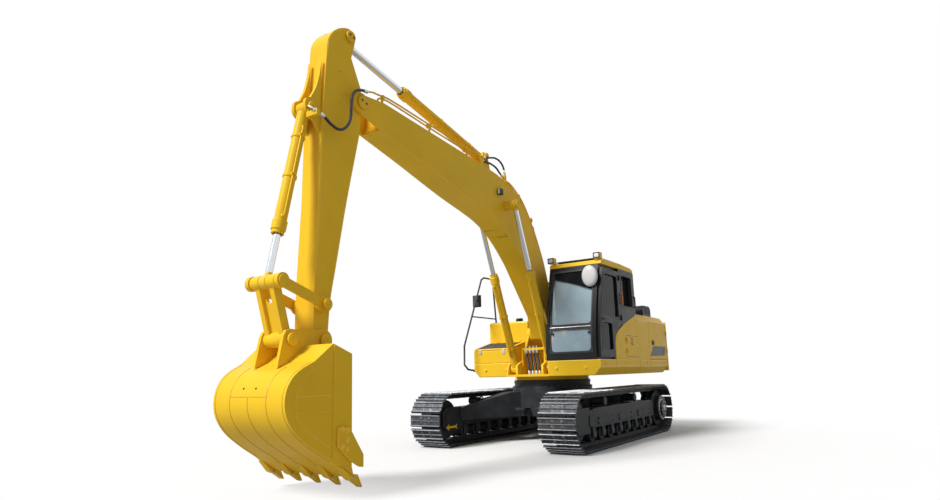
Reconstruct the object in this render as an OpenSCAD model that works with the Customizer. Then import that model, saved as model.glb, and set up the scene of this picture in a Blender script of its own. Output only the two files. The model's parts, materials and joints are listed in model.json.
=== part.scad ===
// Crawler excavator: X forward, Y to the cab side, Z up, origin on the ground under the swing axis.

/* [Tracks] */
// Distance between the track centres
track_gauge = 2380; // [2200:10:2800]
// Width of a shoe
shoe_w = 600; // [450:10:800]
// Idler axle, ahead of the swing axis
idler_x = 1870; // [1600:1:2200]
// Sprocket axle, behind the swing axis
sprocket_x = -1852; // [-2200:1:-1600]
// Radius of the loop at the lugs' tips
loop_r = 443; // [400:1:480]
// Height of a lug
lug_h = 26; // [15:1:40]
// Thickness of a shoe plate
shoe_t = 12; // [8:1:20]
// Height of the chain links
chain_h = 85; // [60:1:110]
// Width of the chain
chain_w = 190; // [150:5:240]
// Shoes in a loop
shoe_count = 51; // [40:1:60]
// Radius of a lower roller
roller_r = 95; // [70:1:110]
// Lower rollers on a side
roller_count = 8; // [6:1:10]
// Radius of a carrier roller
carrier_r = 65; // [50:1:80]
// Width of a side frame
side_w = 330; // [280:5:360]

/* [Carbody] */
// Top of the carbody
carbody_top = 920; // [850:5:1000]
// Radius of the swing ring
ring_r = 690; // [600:5:760]
// Angle of the legs in plan
leg_angle = 40; // [30:1:50]

/* [Upper structure] */
// Half width of the upper structure
half_w = 1420; // [1300:5:1500]
// Half width of the middle frame
frame_hw = 480; // [470:1:500]
// Width of the tanks
tank_w = 880; // [800:5:920]
// Height of the fuel tank's top
fuel_top = 2170; // [2100:5:2250]
// Height of the oil tank's top
oil_top = 2130; // [2100:5:2160]
// Width of the toolbox
toolbox_w = 815; // [700:5:860]
// Half width of the engine
engine_hw = 465; // [400:5:470]
// Bottom of the decks
deck_z0 = 1110; // [1080:5:1150]
// Top of the decks
deck_z1 = 1365; // [1300:5:1420]
// Front of the left deck
deck_left_x = 1085; // [1000:5:1200]
// Front of the right deck
deck_right_x = 450; // [350:5:600]
// Thickness of doors and covers
panel_t = 50; // [30:1:70]
// Height where the side doors end
panel_top = 2065; // [1950:5:2150]
// Height of the hood
hood_top = 2210; // [2100:5:2300]
// Split between the service door and the rear door
split_x = -741; // [-800:1:-700]
// Split between the rear panel and the rear door
door_split_x = -1380; // [-1450:1:-1300]
// Front of the counterweight
weight_x = -2450; // [-2500:5:-2300]
// Back of the counterweight
tail_x = -2800; // [-2900:5:-2700]

/* [Cab] */
// Width of the cab's frame
cab_w = 902; // [850:1:930]
// Depth of the door's layer outside the frame
door_layer = 58; // [50:1:70]
// Back of the cab
cab_back = -730; // [-780:5:-700]
// Top of the cab's walls
cab_top = 2950; // [2850:5:3000]
// Height of the roof panel
roof_h = 105; // [80:5:130]
// Thickness of the cab's walls
wall_t = 60; // [40:1:80]
// Thickness of the glass
glass_t = 6; // [4:1:10]
// Back edge of the door
door_back = 45; // [0:1:100]

/* [Boom] */
// Half width of the boom
boom_hw = 190; // [170:1:220]
// Boom foot pin, X and Z
foot = [238, 1853];
// Boom tip pin, X and Z
tip = [5274, 4544];
// Boom cylinder foot, X and Z
bc_foot = [686, 1248];
// Boom cylinder rod eye, X and Z
bc_eye = [1787, 3940];
// Boom cylinders, distance from the middle
bc_y = 360; // [340:1:380]
// Arm cylinder foot, X and Z
ac_foot = [2276, 4698];

/* [Arm] */
// Half width of the arm
arm_hw = 148; // [130:1:160]
// Arm cylinder rod eye, X and Z
ac_eye = [5445, 5380];
// Bucket cylinder foot, X and Z
kc_foot = [6013, 4254];
// Lever pin, X and Z
lever_p = [5839, 1976];
// Bucket pin, X and Z
bucket_p = [5824, 1582];
// Link pin, X and Z
link_p = [6449, 2180];
// Pin of the link on the bucket, X and Z
crank_p = [6272, 1589];

/* [Bucket] */
// Half width of the bucket at its lip
lip_hw = 625; // [550:5:700]
// Half width of the bucket at its back
back_hw = 550; // [500:5:620]
// Thickness of the shell
shell_t = 25; // [15:1:40]
// Teeth
tooth_count = 5; // [3:1:7]
// Distance between teeth
tooth_pitch = 300; // [250:5:350]
// Width of a tooth
tooth_w = 75; // [50:1:100]

/* [Fits] */
// Running clearance on a radius
run = 0.05; // [0.02:0.01:0.1]
// Clearance between fixed pieces
seat_gap = 0.4; // [0.2:0.1:0.9]
// Clearance beside moving pieces
side_gap = 8; // [6:1:12]
// Clearance around doors and lids
door_gap = 6; // [5:1:10]
// Radius of a hinge knuckle
knuckle_r = 12; // [8:1:16]
// Radius of a hinge pin
hinge_r = 6; // [4:1:9]
// Half length of a hinge
hinge_h = 45; // [30:1:70]

/* [Hidden] */
$fn = 48;
// Loop radii
plate_r = loop_r - lug_h;
belt_r = plate_r - shoe_t;
chain_r = belt_r - chain_h;
loop_n = 24;
wheel_r = chain_r * cos(90 / loop_n) - seat_gap;
axle_z = loop_r;
track_y = track_gauge / 2;
side_y0 = track_y - side_w / 2;
side_y1 = track_y + side_w / 2;
roller_z = axle_z - chain_r + roller_r + seat_gap;
carrier_z = axle_z + chain_r - carrier_r - seat_gap;
shaft_r = 32;
frame_z0 = roller_z + roller_r + 12;
frame_z1 = carrier_z - carrier_r - 15;
// Layers across the bucket linkage
rod_hw = 50;
link_y0 = rod_hw + side_gap;
link_y1 = arm_hw;
ear_y0 = arm_hw + side_gap;
ear_y1 = ear_y0 + 40;
lever_y0 = ear_y1 + side_gap;
lever_y1 = lever_y0 + 35;
// Pins
foot_pin_r = 55;
tip_pin_r = 50;
cyl_pin_r = 42;
bucket_pin_r = 42;
// Cylinders: radius of barrel and rod, barrel length, depth of the rod at rest
bc_barrel_r = 70;
bc_rod_r = 42;
bc_len = 1760;
bc_depth = 1400;
ac_barrel_r = 80;
ac_rod_r = 48;
ac_len = 2050;
ac_depth = 1500;
ac_lug_y = ac_barrel_r + side_gap;
kc_barrel_r = 70;
kc_rod_r = 40;
kc_len = 1570;
kc_depth = 700;
bracket_y0 = 232;
bracket_y1 = 272;
eye_hw = 45;
tip_slot = arm_hw + side_gap;
tip_slot_r = 445;
bow_n = 4;
boom_low = [[4120, 4130], [3200, 3885], [2520, 3735], [2200, 3650], [1930, 3540], [1650, 3370], [1310, 3090],
  [1080, 2845], [500, 2190]];
boom_top = [[180, 2319], [450, 3021], [700, 3496], [950, 3858], [1180, 4105], [1430, 4262], [1870, 4403],
  [2350, 4475], [3590, 4590]];
boom_line = concat([[5290, 4420]], curve(boom_low), [[380, 1780], [238, 1690], [100, 1760], [75, 1900]],
  curve(boom_top), [[4840, 4700], [5290, 4668]]);
arm_head = [[5820, 4990], [5806, 5170], [5735, 5315], [5610, 5430], [5445, 5490], [5345, 5425], [5350, 5330]];
arm_line = concat(curve(arm_head), [[5410, 5110], [5230, 4750], [5230, 4360]],
  curve([[5250, 4140], [5450, 3260], [5610, 2450], [5690, 2040], [5722, 1640]]),
  [[5722, 1500], [5926, 1500], [5940, 1630], [5930, 2300], [5890, 3160], [5880, 4000], [5860, 4350]]);
bucket_back = [[6060, 370], [6290, 510], [6480, 655], [6595, 810], [6630, 970], [6595, 1125], [6490, 1250],
  [6300, 1350]];
bucket_line = concat([[5820, 300], [5790, 185]], curve(bucket_back), [[6070, 1530], [5830, 1430]]);

service_x0 = -720;
service_x1 = -140;
service_z1 = 1780;
tank_x0 = -1110;
tank_x1 = -150;
tank_split_x = -700;
span = idler_x - sprocket_x;
pitch_r = belt_r - chain_h / 2;
loop_len = 2 * span + 2 * PI * pitch_r;
shoe_p = loop_len / shoe_count;
lug_top = loop_r - pitch_r;
lug_base = plate_r - pitch_r;
shoe_line = [[-0.465, 0], [-0.43, 1], [-0.37, 1], [-0.33, 0], [-0.06, 0], [-0.03, 1],
  [0.03, 1], [0.06, 0], [0.33, 0], [0.37, 1], [0.43, 1], [0.465, 0]];
outer_loop = [for (k = [0:shoe_count - 1]) for (q = shoe_line)
  place((k + 0.5) * shoe_p, q[0] * shoe_p, lug_base + q[1] * lug_h)];
roller_x = [for (i = [0:roller_count - 1]) -1290 + i * 2620 / (roller_count - 1)];
carrier_x = [-650, 750];
tow_p = [830, 180];
tow_z = 560;
tow_r = 45;
tow_t = 40;
ring_z = 1045;
lift_x = -2600;
lift_y = 700;
lift_r = 18;
weight_top = 2120;
weight_r = 340;
weight_in = half_w - panel_t - 10;
hood_y = half_w - 5;
hood_z = panel_top + door_gap;
hood_line = [[-hood_y, hood_z], [-hood_y, hood_z + 14], [-hood_y + 90, hood_top], [hood_y - 90, hood_top],
  [hood_y, hood_z + 14], [hood_y, hood_z]];
hood_in = [[-hood_y + 60, hood_z - 1], [-hood_y + 130, hood_top - 45], [hood_y - 130, hood_top - 45],
  [hood_y - 60, hood_z - 1]];
hood_back = weight_x + 20;
hood_hinge = [door_split_x - 3, hood_top + knuckle_r];
bulk_x = cab_back - 60;
bulk_z0 = deck_z1 + 45;
tank_y = -half_w + tank_w;
toolbox_y0 = -half_w + 5;
toolbox_y1 = toolbox_y0 + toolbox_w;
sweep = [[368, deck_z1], [356, 1649], [305, 1775], [198, 1847], [-102, 1975], [-415, 2078], [split_x, 2172]];
rear_hinge_x = weight_x + 15;
right_hinge_x = tank_x0 - 10;
lid_hinge = [tank_x1 + 18, 1782];
lid_hinge_y = [toolbox_y0 + 165, toolbox_y1 - 150];
cab_y1 = half_w - door_layer;
cab_y0 = cab_y1 - cab_w;
cab_mid = (cab_y0 + cab_y1) / 2;
cab_line = [[deck_left_x, deck_z1], [1075, 1700], [985, 2200], [785, cab_top], [cab_back, cab_top],
  [cab_back, deck_z1]];
cab_in = [[deck_left_x - wall_t, deck_z1 + 40], [1075 - wall_t, 1700], [985 - wall_t, 2200],
  [785 - wall_t, cab_top + 1], [cab_back + wall_t, cab_top + 1], [cab_back + wall_t, deck_z1 + 40]];
hinge_x = door_back - 3;
hinge_y = half_w + knuckle_r;
rail_y = -half_w - 22;
rail_r = 17;
rail_line = [[400, 1240], [620, 1262], [740, 1350], [730, 1700], [70, 3040], [-30, 3090], [-280, 3090],
  [-360, 3040], [-460, 2120]];
bucket_hollow = [[6043, 395], [6277, 532], [6462, 673], [6570, 820], [6604, 970], [6570, 1115], [6475, 1228],
  [6287, 1328]];
bucket_in = concat([[5650, 126]], curve(bucket_hollow), [[6066, 1500], [5830, 1402], [5650, 1402]]);
// Lip of the bucket: its outer corner, the way to the teeth and the way outwards
lip_p = [5790, 185];
lip_e = [-0.825, -0.565];
lip_n = [0.565, -0.825];
// Slant of the bucket's sides, the X where they are as wide as the lip, and the side cutters
side_k = (lip_hw - back_hw) / 800;
side_x = 5830;
cutter_x = 6000;
cutter_t = 28;
border_t = 10;
cutter_line = [[25, 700], [-131, 680], [-310, 405], [-310, 280], [-255, 290], [-127, 366], [25, 512]];
border_line = [[-168, 1425], [68, 1522], [68, 385], [-200, 215], [-178, 300]];
// Way of the arm cylinder's rod eye in the arm's head, from the eye's place at rest
rod_way = [[0, -100], [140, -85], [310, -20], [310, 250], [0, 250]];
// Lamps on the roof
lamp_w = 130;
lamp_h = 105;
// Oval mirror on the cab's corner, Y and Z of its middle
oval_p = [1250, 2740];
// Cowl on the hood
cowl_x = [-1960, -1500];
cowl_y = [1100, 1300];
cowl_z = 2420;
// Hoses: radii, routes and the blocks that hold their ends
hose_r = 13;
foot_hose_r = 15;
arm_route = [[6000, 260, 4135], [5930, 260, 4115], [5870, 260, 4080], [5805, 260, 4055], [5735, 260, 4040],
  [5665, 260, 4055], [5605, 260, 4095], [5560, 260, 4150], [5530, 260, 4215], [5515, 260, 4285],
  [5515, 260, 4355], [5510, 260, 4430], [5505, 260, 4500], [5485, 260, 4565], [5440, 260, 4625],
  [5380, 260, 4660], [5310, 260, 4680], [5240, 260, 4690]];
boom_route_a = [[2425, 180, 4630], [2370, 180, 4640], [2315, 180, 4650], [2265, 180, 4665], [2210, 180, 4680],
  [2155, 180, 4695], [2105, 180, 4710], [2050, 180, 4715], [1990, 180, 4715], [1940, 180, 4710],
  [1885, 180, 4690], [1840, 180, 4665], [1800, 180, 4625], [1775, 180, 4575], [1765, 180, 4520]];
boom_route_b = [[2425, 145, 4595], [2380, 145, 4595], [2330, 145, 4600], [2285, 145, 4600], [2235, 145, 4600],
  [2190, 145, 4600], [2140, 145, 4600], [2095, 145, 4595], [2045, 145, 4590], [2000, 145, 4580],
  [1955, 145, 4565], [1915, 145, 4540], [1875, 145, 4515], [1830, 145, 4495], [1790, 145, 4470]];
foot_route = [[660, 0, 1570], [660, 0, 1540], [660, 0, 1510], [662, 2, 1480], [666, 7, 1450],
  [673, 15, 1420], [681, 25, 1390], [690, 35, 1360], [699, 45, 1330], [707, 55, 1300], [714, 63, 1270],
  [718, 68, 1240], [720, 70, 1210], [720, 70, 1180], [720, 70, 1150]];
foot_hose_y = [-140, -70, 0, 70];
hose_bar_z = foot_route[0][2];

// Node to draw

// Helpers
module slab(pts, y0, y1) {
  translate([0, y1, 0]) rotate([90, 0, 0]) linear_extrude(height = y1 - y0) polygon(pts);
}

module rail(pts, x0, x1) {
  translate([x0, 0, 0]) rotate([90, 0, 90]) linear_extrude(height = x1 - x0) polygon(pts);
}

module box(x0, x1, y0, y1, z0, z1) {
  translate([x0, y0, z0]) cube([x1 - x0, y1 - y0, z1 - z0]);
}

module pin(p, y0, y1, r) {
  translate([p[0], y1, p[1]]) rotate([90, 0, 0]) cylinder(r = r, h = y1 - y0);
}

module twin() {
  children();
  mirror([0, 1, 0]) children();
}

// A smooth line through points, each stretch in bow_n steps
function curve(p) = concat([for (i = [0:len(p) - 2]) for (k = [0:bow_n - 1]) bow(p, i, k / bow_n)],
  [p[len(p) - 1]]);
function bow(p, i, t) = let(a = p[max(i - 1, 0)], b = p[i], c = p[i + 1], d = p[min(i + 2, len(p) - 1)])
  0.5 * (2 * b + (c - a) * t + (2 * a - 5 * b + 4 * c - d) * t * t + (3 * b - a - 3 * c + d) * t * t * t);

// A point by its lengths along and out of the bucket's lip
function lip(e, n) = lip_p + e * lip_e + n * lip_n;

module along(p, q, y) {
  translate([p[0], y, p[1]]) rotate([0, atan2(q[0] - p[0], q[1] - p[1]), 0]) children();
}

module bar(a, b, r) {
  d = b - a;
  translate(a) rotate([0, acos(d[2] / norm(d)), atan2(d[1], d[0])]) cylinder(r = r, h = norm(d));
}

// A hose swept along its route in rings of hose_n points, the first point of each ring square to a direction
hose_n = 10;
function hose_ring(p, i, r, side) =
  let(t = p[min(i + 1, len(p) - 1)] - p[max(i - 1, 0)], a = cross(t, side))
  let(u = a / norm(a), v = cross(u, t) / norm(t))
  [for (k = [0:hose_n - 1]) p[i] + r * (cos(k * 360 / hose_n) * u + sin(k * 360 / hose_n) * v)];

module hose(p, r, side) {
  last = (len(p) - 1) * hose_n;
  ends = [[for (k = [0:hose_n - 1]) hose_n - 1 - k], [for (k = [0:hose_n - 1]) last + k]];
  sides = [for (i = [0:len(p) - 2]) for (k = [0:hose_n - 1])
    let(a = i * hose_n + k, b = i * hose_n + (k + 1) % hose_n)
    each [[a, b, b + hose_n], [a, b + hose_n, a + hose_n]]];
  polyhedron(points = [for (i = [0:len(p) - 1]) each hose_ring(p, i, r, side)], faces = concat(ends, sides));
}

// A gland behind a hose's end p, in line with the next point q of its route
module gland(p, q) {
  e = (p - q) / norm(p - q);
  bar(p + seat_gap * e, p + 45 * e, hose_r + 6);
}

// Hinge at a point, its axis along Z: the fixed half with the pin, and the moving half
module hinge_fixed(reach) {
  translate([0, 0, -hinge_h]) cylinder(r = knuckle_r, h = hinge_h - 0.2);
  translate([0, 0, -hinge_h]) cylinder(r = hinge_r, h = 2 * hinge_h);
  translate([min(0, reach), -knuckle_r - 1, -hinge_h + 1]) cube([abs(reach), 8, hinge_h - 2]);
}

module hinge_moving(reach) {
  difference() {
    union() {
      translate([0, 0, 0.2]) cylinder(r = knuckle_r, h = hinge_h - 0.2);
      translate([min(0, reach), -knuckle_r - 1, 1]) cube([abs(reach), 8, hinge_h - 2]);
    }
    translate([0, 0, -1]) cylinder(r = hinge_r + run, h = hinge_h + 2);
  }
}

// A point of the loop at path length s and height h over the pitch line, with t along the shoe
function place(s, t, h) =
  s < span ? [sprocket_x + s + t, axle_z + pitch_r + h]
  : s < span + PI * pitch_r ? turn(idler_x, 90 - (s - span) / pitch_r * 180 / PI, t, h)
  : s < 2 * span + PI * pitch_r ? [idler_x - (s - span - PI * pitch_r) - t, axle_z - pitch_r - h]
  : turn(sprocket_x, 270 - (s - 2 * span - PI * pitch_r) / pitch_r * 180 / PI, t, h);
function turn(x, a, t, h) = let(b = a - t / pitch_r * 180 / PI)
  [x + (pitch_r + h) * cos(b), axle_z + (pitch_r + h) * sin(b)];

function ring_line(r) = concat(
  [for (i = [0:loop_n]) let(a = 90 - i * 180 / loop_n) [idler_x + r * cos(a), axle_z + r * sin(a)]],
  [for (i = [0:loop_n]) let(a = 270 - i * 180 / loop_n) [sprocket_x + r * cos(a), axle_z + r * sin(a)]]);

module track() {
  difference() {
    slab(outer_loop, track_y - shoe_w / 2, track_y + shoe_w / 2);
    slab(ring_line(belt_r - 4), track_y - shoe_w, track_y + shoe_w);
  }
  difference() {
    slab(ring_line(belt_r - 4 - seat_gap), track_y - chain_w / 2, track_y + chain_w / 2);
    slab(ring_line(chain_r), track_y - chain_w, track_y + chain_w);
  }
}

module track_left() {
  color("#3b3c3e") track();
}

module track_right() {
  color("#3b3c3e") mirror([0, 1, 0]) track();
}

module side_frames() {
  color("#2c2d2f") twin() difference() {
    union() {
      slab([[-1520, frame_z0], [1290, frame_z0], [1520, frame_z0 + 30], [1520, frame_z1 - 30],
        [1200, frame_z1], [-1350, frame_z1], [-1520, frame_z1 - 60]], side_y0, side_y1);
      for (x = roller_x) for (y = [side_y0, side_y1 - 40])
        box(x - 55, x + 55, y, y + 40, roller_z - 45, frame_z0 + 5);
      for (x = carrier_x) box(x - 45, x + 45, side_y0 + 40, side_y0 + 90, frame_z1 - 5, carrier_z + 40);
      for (y = [side_y0, side_y1 - 50]) slab([[1480, axle_z - 190], [idler_x + 20, axle_z - 190],
        [idler_x + 130, axle_z - 110], [idler_x + 130, axle_z + 110], [idler_x + 20, axle_z + 190],
        [1480, axle_z + 190]], y, y + 50);
      box(sprocket_x - 60, -1480, side_y0, side_y0 + 60, axle_z - 130, axle_z + 130);
    }
    for (x = roller_x) pin([x, roller_z], side_y0 - 1, side_y1 + 1, shaft_r + run);
    for (x = carrier_x) pin([x, carrier_z], side_y0 - 1, side_y1 + 1, shaft_r + run);
    pin([idler_x, axle_z], side_y0 - 1, side_y1 + 1, shaft_r + run);
    pin([sprocket_x, axle_z], side_y0 - 1, side_y1 + 1, shaft_r + run);
  }
}

module lower_rollers() {
  color("#333436") twin() for (x = roller_x) {
    pin([x, roller_z], side_y0 + 41, side_y1 - 41, roller_r);
    pin([x, roller_z], side_y0, side_y1, shaft_r);
  }
}

module carrier_rollers() {
  color("#333436") twin() for (x = carrier_x) {
    pin([x, carrier_z], side_y0 + 91, side_y1 - 30, carrier_r);
    pin([x, carrier_z], side_y0 + 41, side_y0 + 95, shaft_r);
  }
}

module idlers() {
  color("#333436") twin() {
    pin([idler_x, axle_z], side_y0 + 51, side_y1 - 51, wheel_r);
    pin([idler_x, axle_z], side_y0, side_y1, shaft_r);
  }
}

module sprockets() {
  color("#46474a") twin() {
    pin([sprocket_x, axle_z], side_y0 + 61, side_y1 - 40, wheel_r);
    pin([sprocket_x, axle_z], side_y1 - 60, side_y1 + 60, 235);
    pin([sprocket_x, axle_z], side_y1 + 20, side_y1 + 100, 150);
    pin([sprocket_x, axle_z], side_y0, side_y0 + 70, shaft_r);
  }
}

module carbody() {
  color("#2c2d2f") difference() {
    union() {
      translate([0, 0, 430]) cylinder(r = ring_r + 30, h = carbody_top - 430, $fn = 96);
      intersection() {
        for (a = [leg_angle, 180 - leg_angle, 180 + leg_angle, -leg_angle]) rotate([0, 0, a])
          slab([[300, 450], [900, 430], [1900, 400], [1900, 590], [900, 840], [300, 890]], -190, 190);
        box(-1500, 1500, -side_y0 + seat_gap, side_y0 - seat_gap, 0, 1000);
      }
      twin() box(ring_r - 90, tow_p[0] + 2 * tow_r, tow_p[1] - 2 * tow_r, tow_p[1] + 2 * tow_r,
        tow_z - tow_t / 2, tow_z + tow_t / 2);
    }
    twin() translate([tow_p[0], tow_p[1], tow_z - tow_t]) cylinder(r = tow_r, h = 2 * tow_t);
    translate([0, 0, 600]) cylinder(r = 220, h = 400);
  }
}

module swing_ring() {
  color("#3f4042") difference() {
    translate([0, 0, carbody_top + seat_gap]) cylinder(r = ring_r, h = ring_z - carbody_top - seat_gap, $fn = 96);
    translate([0, 0, carbody_top - 1]) cylinder(r = ring_r - 110, h = 130, $fn = 96);
  }
}

module revolving_frame() {
  color("#e6b81c") difference() {
    union() {
      translate([0, 0, ring_z + seat_gap])
        cylinder(r = ring_r - 20, h = deck_z0 - ring_z - 2 * seat_gap, $fn = 96);
      translate([0, 0, ring_z + 10]) cylinder(r = frame_hw - 20, h = deck_z0 - ring_z, $fn = 96);
      box(weight_x - 200, 850, -frame_hw, frame_hw, deck_z0, deck_z0 + 40 - seat_gap);
      twin() slab([[-1100, deck_z0 + 30], [850, deck_z0 + 30], [850, 1300], [600, 1420], [400, 1800],
        [300, 2000], [180, 2000], [60, 1860], [-650, bulk_z0 - 20], [-1100, bulk_z0 - 60]], bracket_y0, bracket_y1);
      twin() pin(foot, bracket_y0 - 8, bracket_y1 + 20, 140);
      twin() slab([[560, deck_z0 + 30], [850, deck_z0 + 30], [810, 1290], [740, 1350], [630, 1350],
        [560, 1290]], bc_y + bc_barrel_r + side_gap, bc_y + bc_barrel_r + side_gap + 30);
      twin() pin(bc_foot, bracket_y1 - 2, bc_y - bc_barrel_r - side_gap, 80);
      box(635, 685, -bracket_y0 - 1, bracket_y0 + 1, hose_bar_z + seat_gap, hose_bar_z + 40);
      twin() box(635, 685, bracket_y0 - 25, bracket_y0 + 1, deck_z0 + 30, hose_bar_z + 40);
    }
    pin(foot, -400, 400, foot_pin_r + run);
    pin(bc_foot, -600, 600, cyl_pin_r + run);
    translate([0, 0, carbody_top]) cylinder(r = 200, h = 400);
  }
}

module frame_pins() {
  color("#8b8d90") {
    pin(foot, -bracket_y1 - 40, bracket_y1 + 40, foot_pin_r);
    twin() pin(bc_foot, bracket_y0, bc_y + bc_barrel_r + side_gap + 36, cyl_pin_r);
  }
}

module deck_side(x0, x1, y0) {
  rail([[y0, deck_z0], [half_w - 110, deck_z0], [half_w, deck_z0 + 130], [half_w, deck_z1 - seat_gap],
    [y0, deck_z1 - seat_gap]], x0, x1);
}

module left_deck() {
  color("#e6b81c") deck_side(weight_x + 10, deck_left_x, frame_hw + seat_gap);
}

module right_deck() {
  color("#e6b81c") mirror([0, 1, 0]) deck_side(weight_x + 10, deck_right_x, frame_hw + seat_gap);
}

module counterweight() {
  color("#e6b81c") difference() {
    union() {
      intersection() {
        union() {
          box(tail_x + weight_r, weight_x, -half_w, half_w, deck_z0 + 40, weight_top);
          box(tail_x, weight_x, -half_w + weight_r, half_w - weight_r, deck_z0 + 40, weight_top);
          twin() translate([tail_x + weight_r, half_w - weight_r, deck_z0 + 40])
            cylinder(r = weight_r, h = weight_top - deck_z0 - 40, $fn = 96);
        }
        box(tail_x - 1, weight_x, -half_w - 1, half_w + 1, deck_z0, weight_top + 1);
      }
      box(weight_x - 10, weight_x + 250, -weight_in, weight_in, deck_z1 + 10, panel_top - 60);
      for (z = [1550, 1900]) translate([rear_hinge_x, half_w + knuckle_r, z]) hinge_fixed(-60);
    }
    twin() translate([lift_x, lift_y, weight_top - 90]) cylinder(r = lift_r, h = 100);
  }
}

module engine() {
  color("#55585b") box(-2150, -1330, -engine_hw, engine_hw, deck_z0 + 40 + seat_gap, 1960);
}

module engine_hood() {
  color("#e6b81c") {
    difference() {
      rail(hood_line, hood_back, door_split_x - door_gap);
      rail(hood_in, hood_back + 40, door_split_x - 46);
      for (x = [hood_back + 150:70:hood_back + 430]) box(x, x + 28, -1000, 600, hood_top - 12, hood_top + 1);
    }
    for (y = [-800, 800]) translate([hood_hinge[0], y, hood_hinge[1]]) rotate([-90, 0, 0]) mirror([0, 1, 0])
      hinge_moving(-70);
  }
}

module top_cover() {
  color("#e6b81c") {
    difference() {
      intersection() {
        rail(hood_line, door_split_x, bulk_x);
        union() {
          box(door_split_x - 1, bulk_x + 1, tank_y + 8, half_w, hood_z - 5, hood_top + 5);
          box(door_split_x - 1, tank_x0 - door_gap, -half_w, half_w, hood_z - 5, hood_top + 5);
        }
      }
      rail(hood_in, door_split_x - 1, tank_x0 - 50);
      difference() {
        rail(hood_in, tank_x0 - 60, bulk_x - 40);
        box(-3000, 0, -half_w, tank_y + 48, 0, 3000);
      }
    }
    for (y = [-800, 800]) translate([hood_hinge[0], y, hood_hinge[1]]) rotate([-90, 0, 0]) mirror([0, 1, 0])
      hinge_fixed(70);
  }
}

module bulkhead() {
  color("#e6b81c") box(bulk_x - 40, bulk_x - seat_gap, tank_y + 10, half_w - panel_t - seat_gap, bulk_z0,
    hood_z - 10);
}

module service_shape(gap) {
  slab([[service_x0 + gap, deck_z1 + 40 + gap], [service_x1 - gap, deck_z1 + 40 + gap],
    [service_x1 - gap, service_z1 - gap], [service_x0 + gap, service_z1 - gap]], half_w - panel_t, half_w);
}

module left_cover() {
  color("#e6b81c") {
    difference() {
      slab(concat(sweep, [[split_x, deck_z1]]), half_w - panel_t, half_w);
      slab([[service_x0, deck_z1 + 40], [service_x1, deck_z1 + 40], [service_x1, service_z1],
        [service_x0, service_z1]], half_w - 2 * panel_t, half_w + 1);
    }
    for (z = [1500, 1690]) translate([service_x1 - 3, half_w + knuckle_r, z]) hinge_fixed(60);
  }
}

module left_service_door() {
  color("#e6b81c") {
    difference() {
      service_shape(door_gap);
      for (z = [1615:45:1705]) slab([[-500, z], [-360, z + 22], [-360, z + 40], [-500, z + 18]],
        half_w - 14, half_w + 1);
    }
    for (z = [1500, 1690]) translate([service_x1 - 3, half_w + knuckle_r, z]) hinge_moving(-60);
  }
}

module left_side_panel() {
  color("#e6b81c") box(door_split_x, split_x - 1, half_w - panel_t, half_w, deck_z1, hood_z - seat_gap);
}

module left_rear_door() {
  color("#e6b81c") {
    box(rear_hinge_x + 3, door_split_x - door_gap, half_w - panel_t, half_w, deck_z1 + door_gap, panel_top);
    for (z = [1550, 1900]) translate([rear_hinge_x, half_w + knuckle_r, z]) hinge_moving(60);
  }
}

module right_rear_door() {
  color("#e6b81c") mirror([0, 1, 0]) {
    difference() {
      box(rear_hinge_x + 3, right_hinge_x - 3, half_w - panel_t, half_w, deck_z1 + door_gap, panel_top);
      for (z = [1490:60:1910]) box(-2250, -1450, half_w - 14, half_w + 1, z, z + 26);
    }
    for (z = [1550, 1900]) translate([right_hinge_x, half_w + knuckle_r, z]) hinge_moving(-60);
  }
}

module fuel_tank() {
  color("#e6b81c") {
    box(tank_split_x, tank_x1, -half_w, tank_y, deck_z1, fuel_top);
    for (y = lid_hinge_y) {
      pin(lid_hinge, y - hinge_h, y - 0.2, knuckle_r);
      pin(lid_hinge, y - hinge_h, y + hinge_h, hinge_r);
      box(tank_x1 - 5, lid_hinge[0], y - hinge_h + 1, y - 1, lid_hinge[1] - 8, lid_hinge[1] + 8);
    }
  }
}

module oil_tank() {
  color("#e6b81c") {
    box(tank_x0, tank_split_x - 1, -half_w, tank_y, deck_z1, oil_top);
    for (z = [1550, 1900]) mirror([0, 1, 0]) translate([right_hinge_x, half_w + knuckle_r, z]) hinge_fixed(60);
  }
}

module toolbox() {
  color("#e6b81c") difference() {
    slab([[tank_x1 + seat_gap, deck_z1], [deck_right_x, deck_z1], [deck_right_x, 1600], [tank_x1 + seat_gap, 1740]],
      toolbox_y0, toolbox_y1);
    slab([[tank_x1 + 40, deck_z1 + 30], [deck_right_x - 30, deck_z1 + 30], [deck_right_x - 30, 1800],
      [tank_x1 + 40, 1800]], toolbox_y0 + 30, toolbox_y1 - 30);
  }
}

module toolbox_lid() {
  color("#e6b81c") {
    slab([[tank_x1 + 26, 1746], [deck_right_x, 1607], [deck_right_x, 1633], [tank_x1 + 26, 1772]],
      toolbox_y0, toolbox_y1);
    for (y = lid_hinge_y) difference() {
      union() {
        pin(lid_hinge, y + 0.2, y + hinge_h, knuckle_r);
        box(lid_hinge[0], lid_hinge[0] + 70, y + 1, y + hinge_h - 1, lid_hinge[1] - 26, lid_hinge[1] - 10);
      }
      pin(lid_hinge, y - 1, y + hinge_h + 1, hinge_r + run);
    }
  }
}

module door_shape(inset) {
  slab([[1040 - inset, deck_z1 + 30 + inset], [1030 - inset, 1700], [940 - inset, 2200],
    [760 - inset, cab_top - 60 - inset], [door_back + inset, cab_top - 60 - inset], [door_back + inset, 1945 + inset],
    [205 + inset, 1878 + inset], [335 + inset, 1790 + inset], [385 + inset, 1660],
    [395 + inset, deck_z1 + 30 + inset]], cab_y0, half_w + 10);
}

module front_window(gap) {
  for (z = [[1480, 1880], [1930, 2880]])
    box(500, 1200, cab_y0 + 70 + gap, cab_y1 - 70 - gap, z[0] + gap, z[1] - gap);
}

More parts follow.
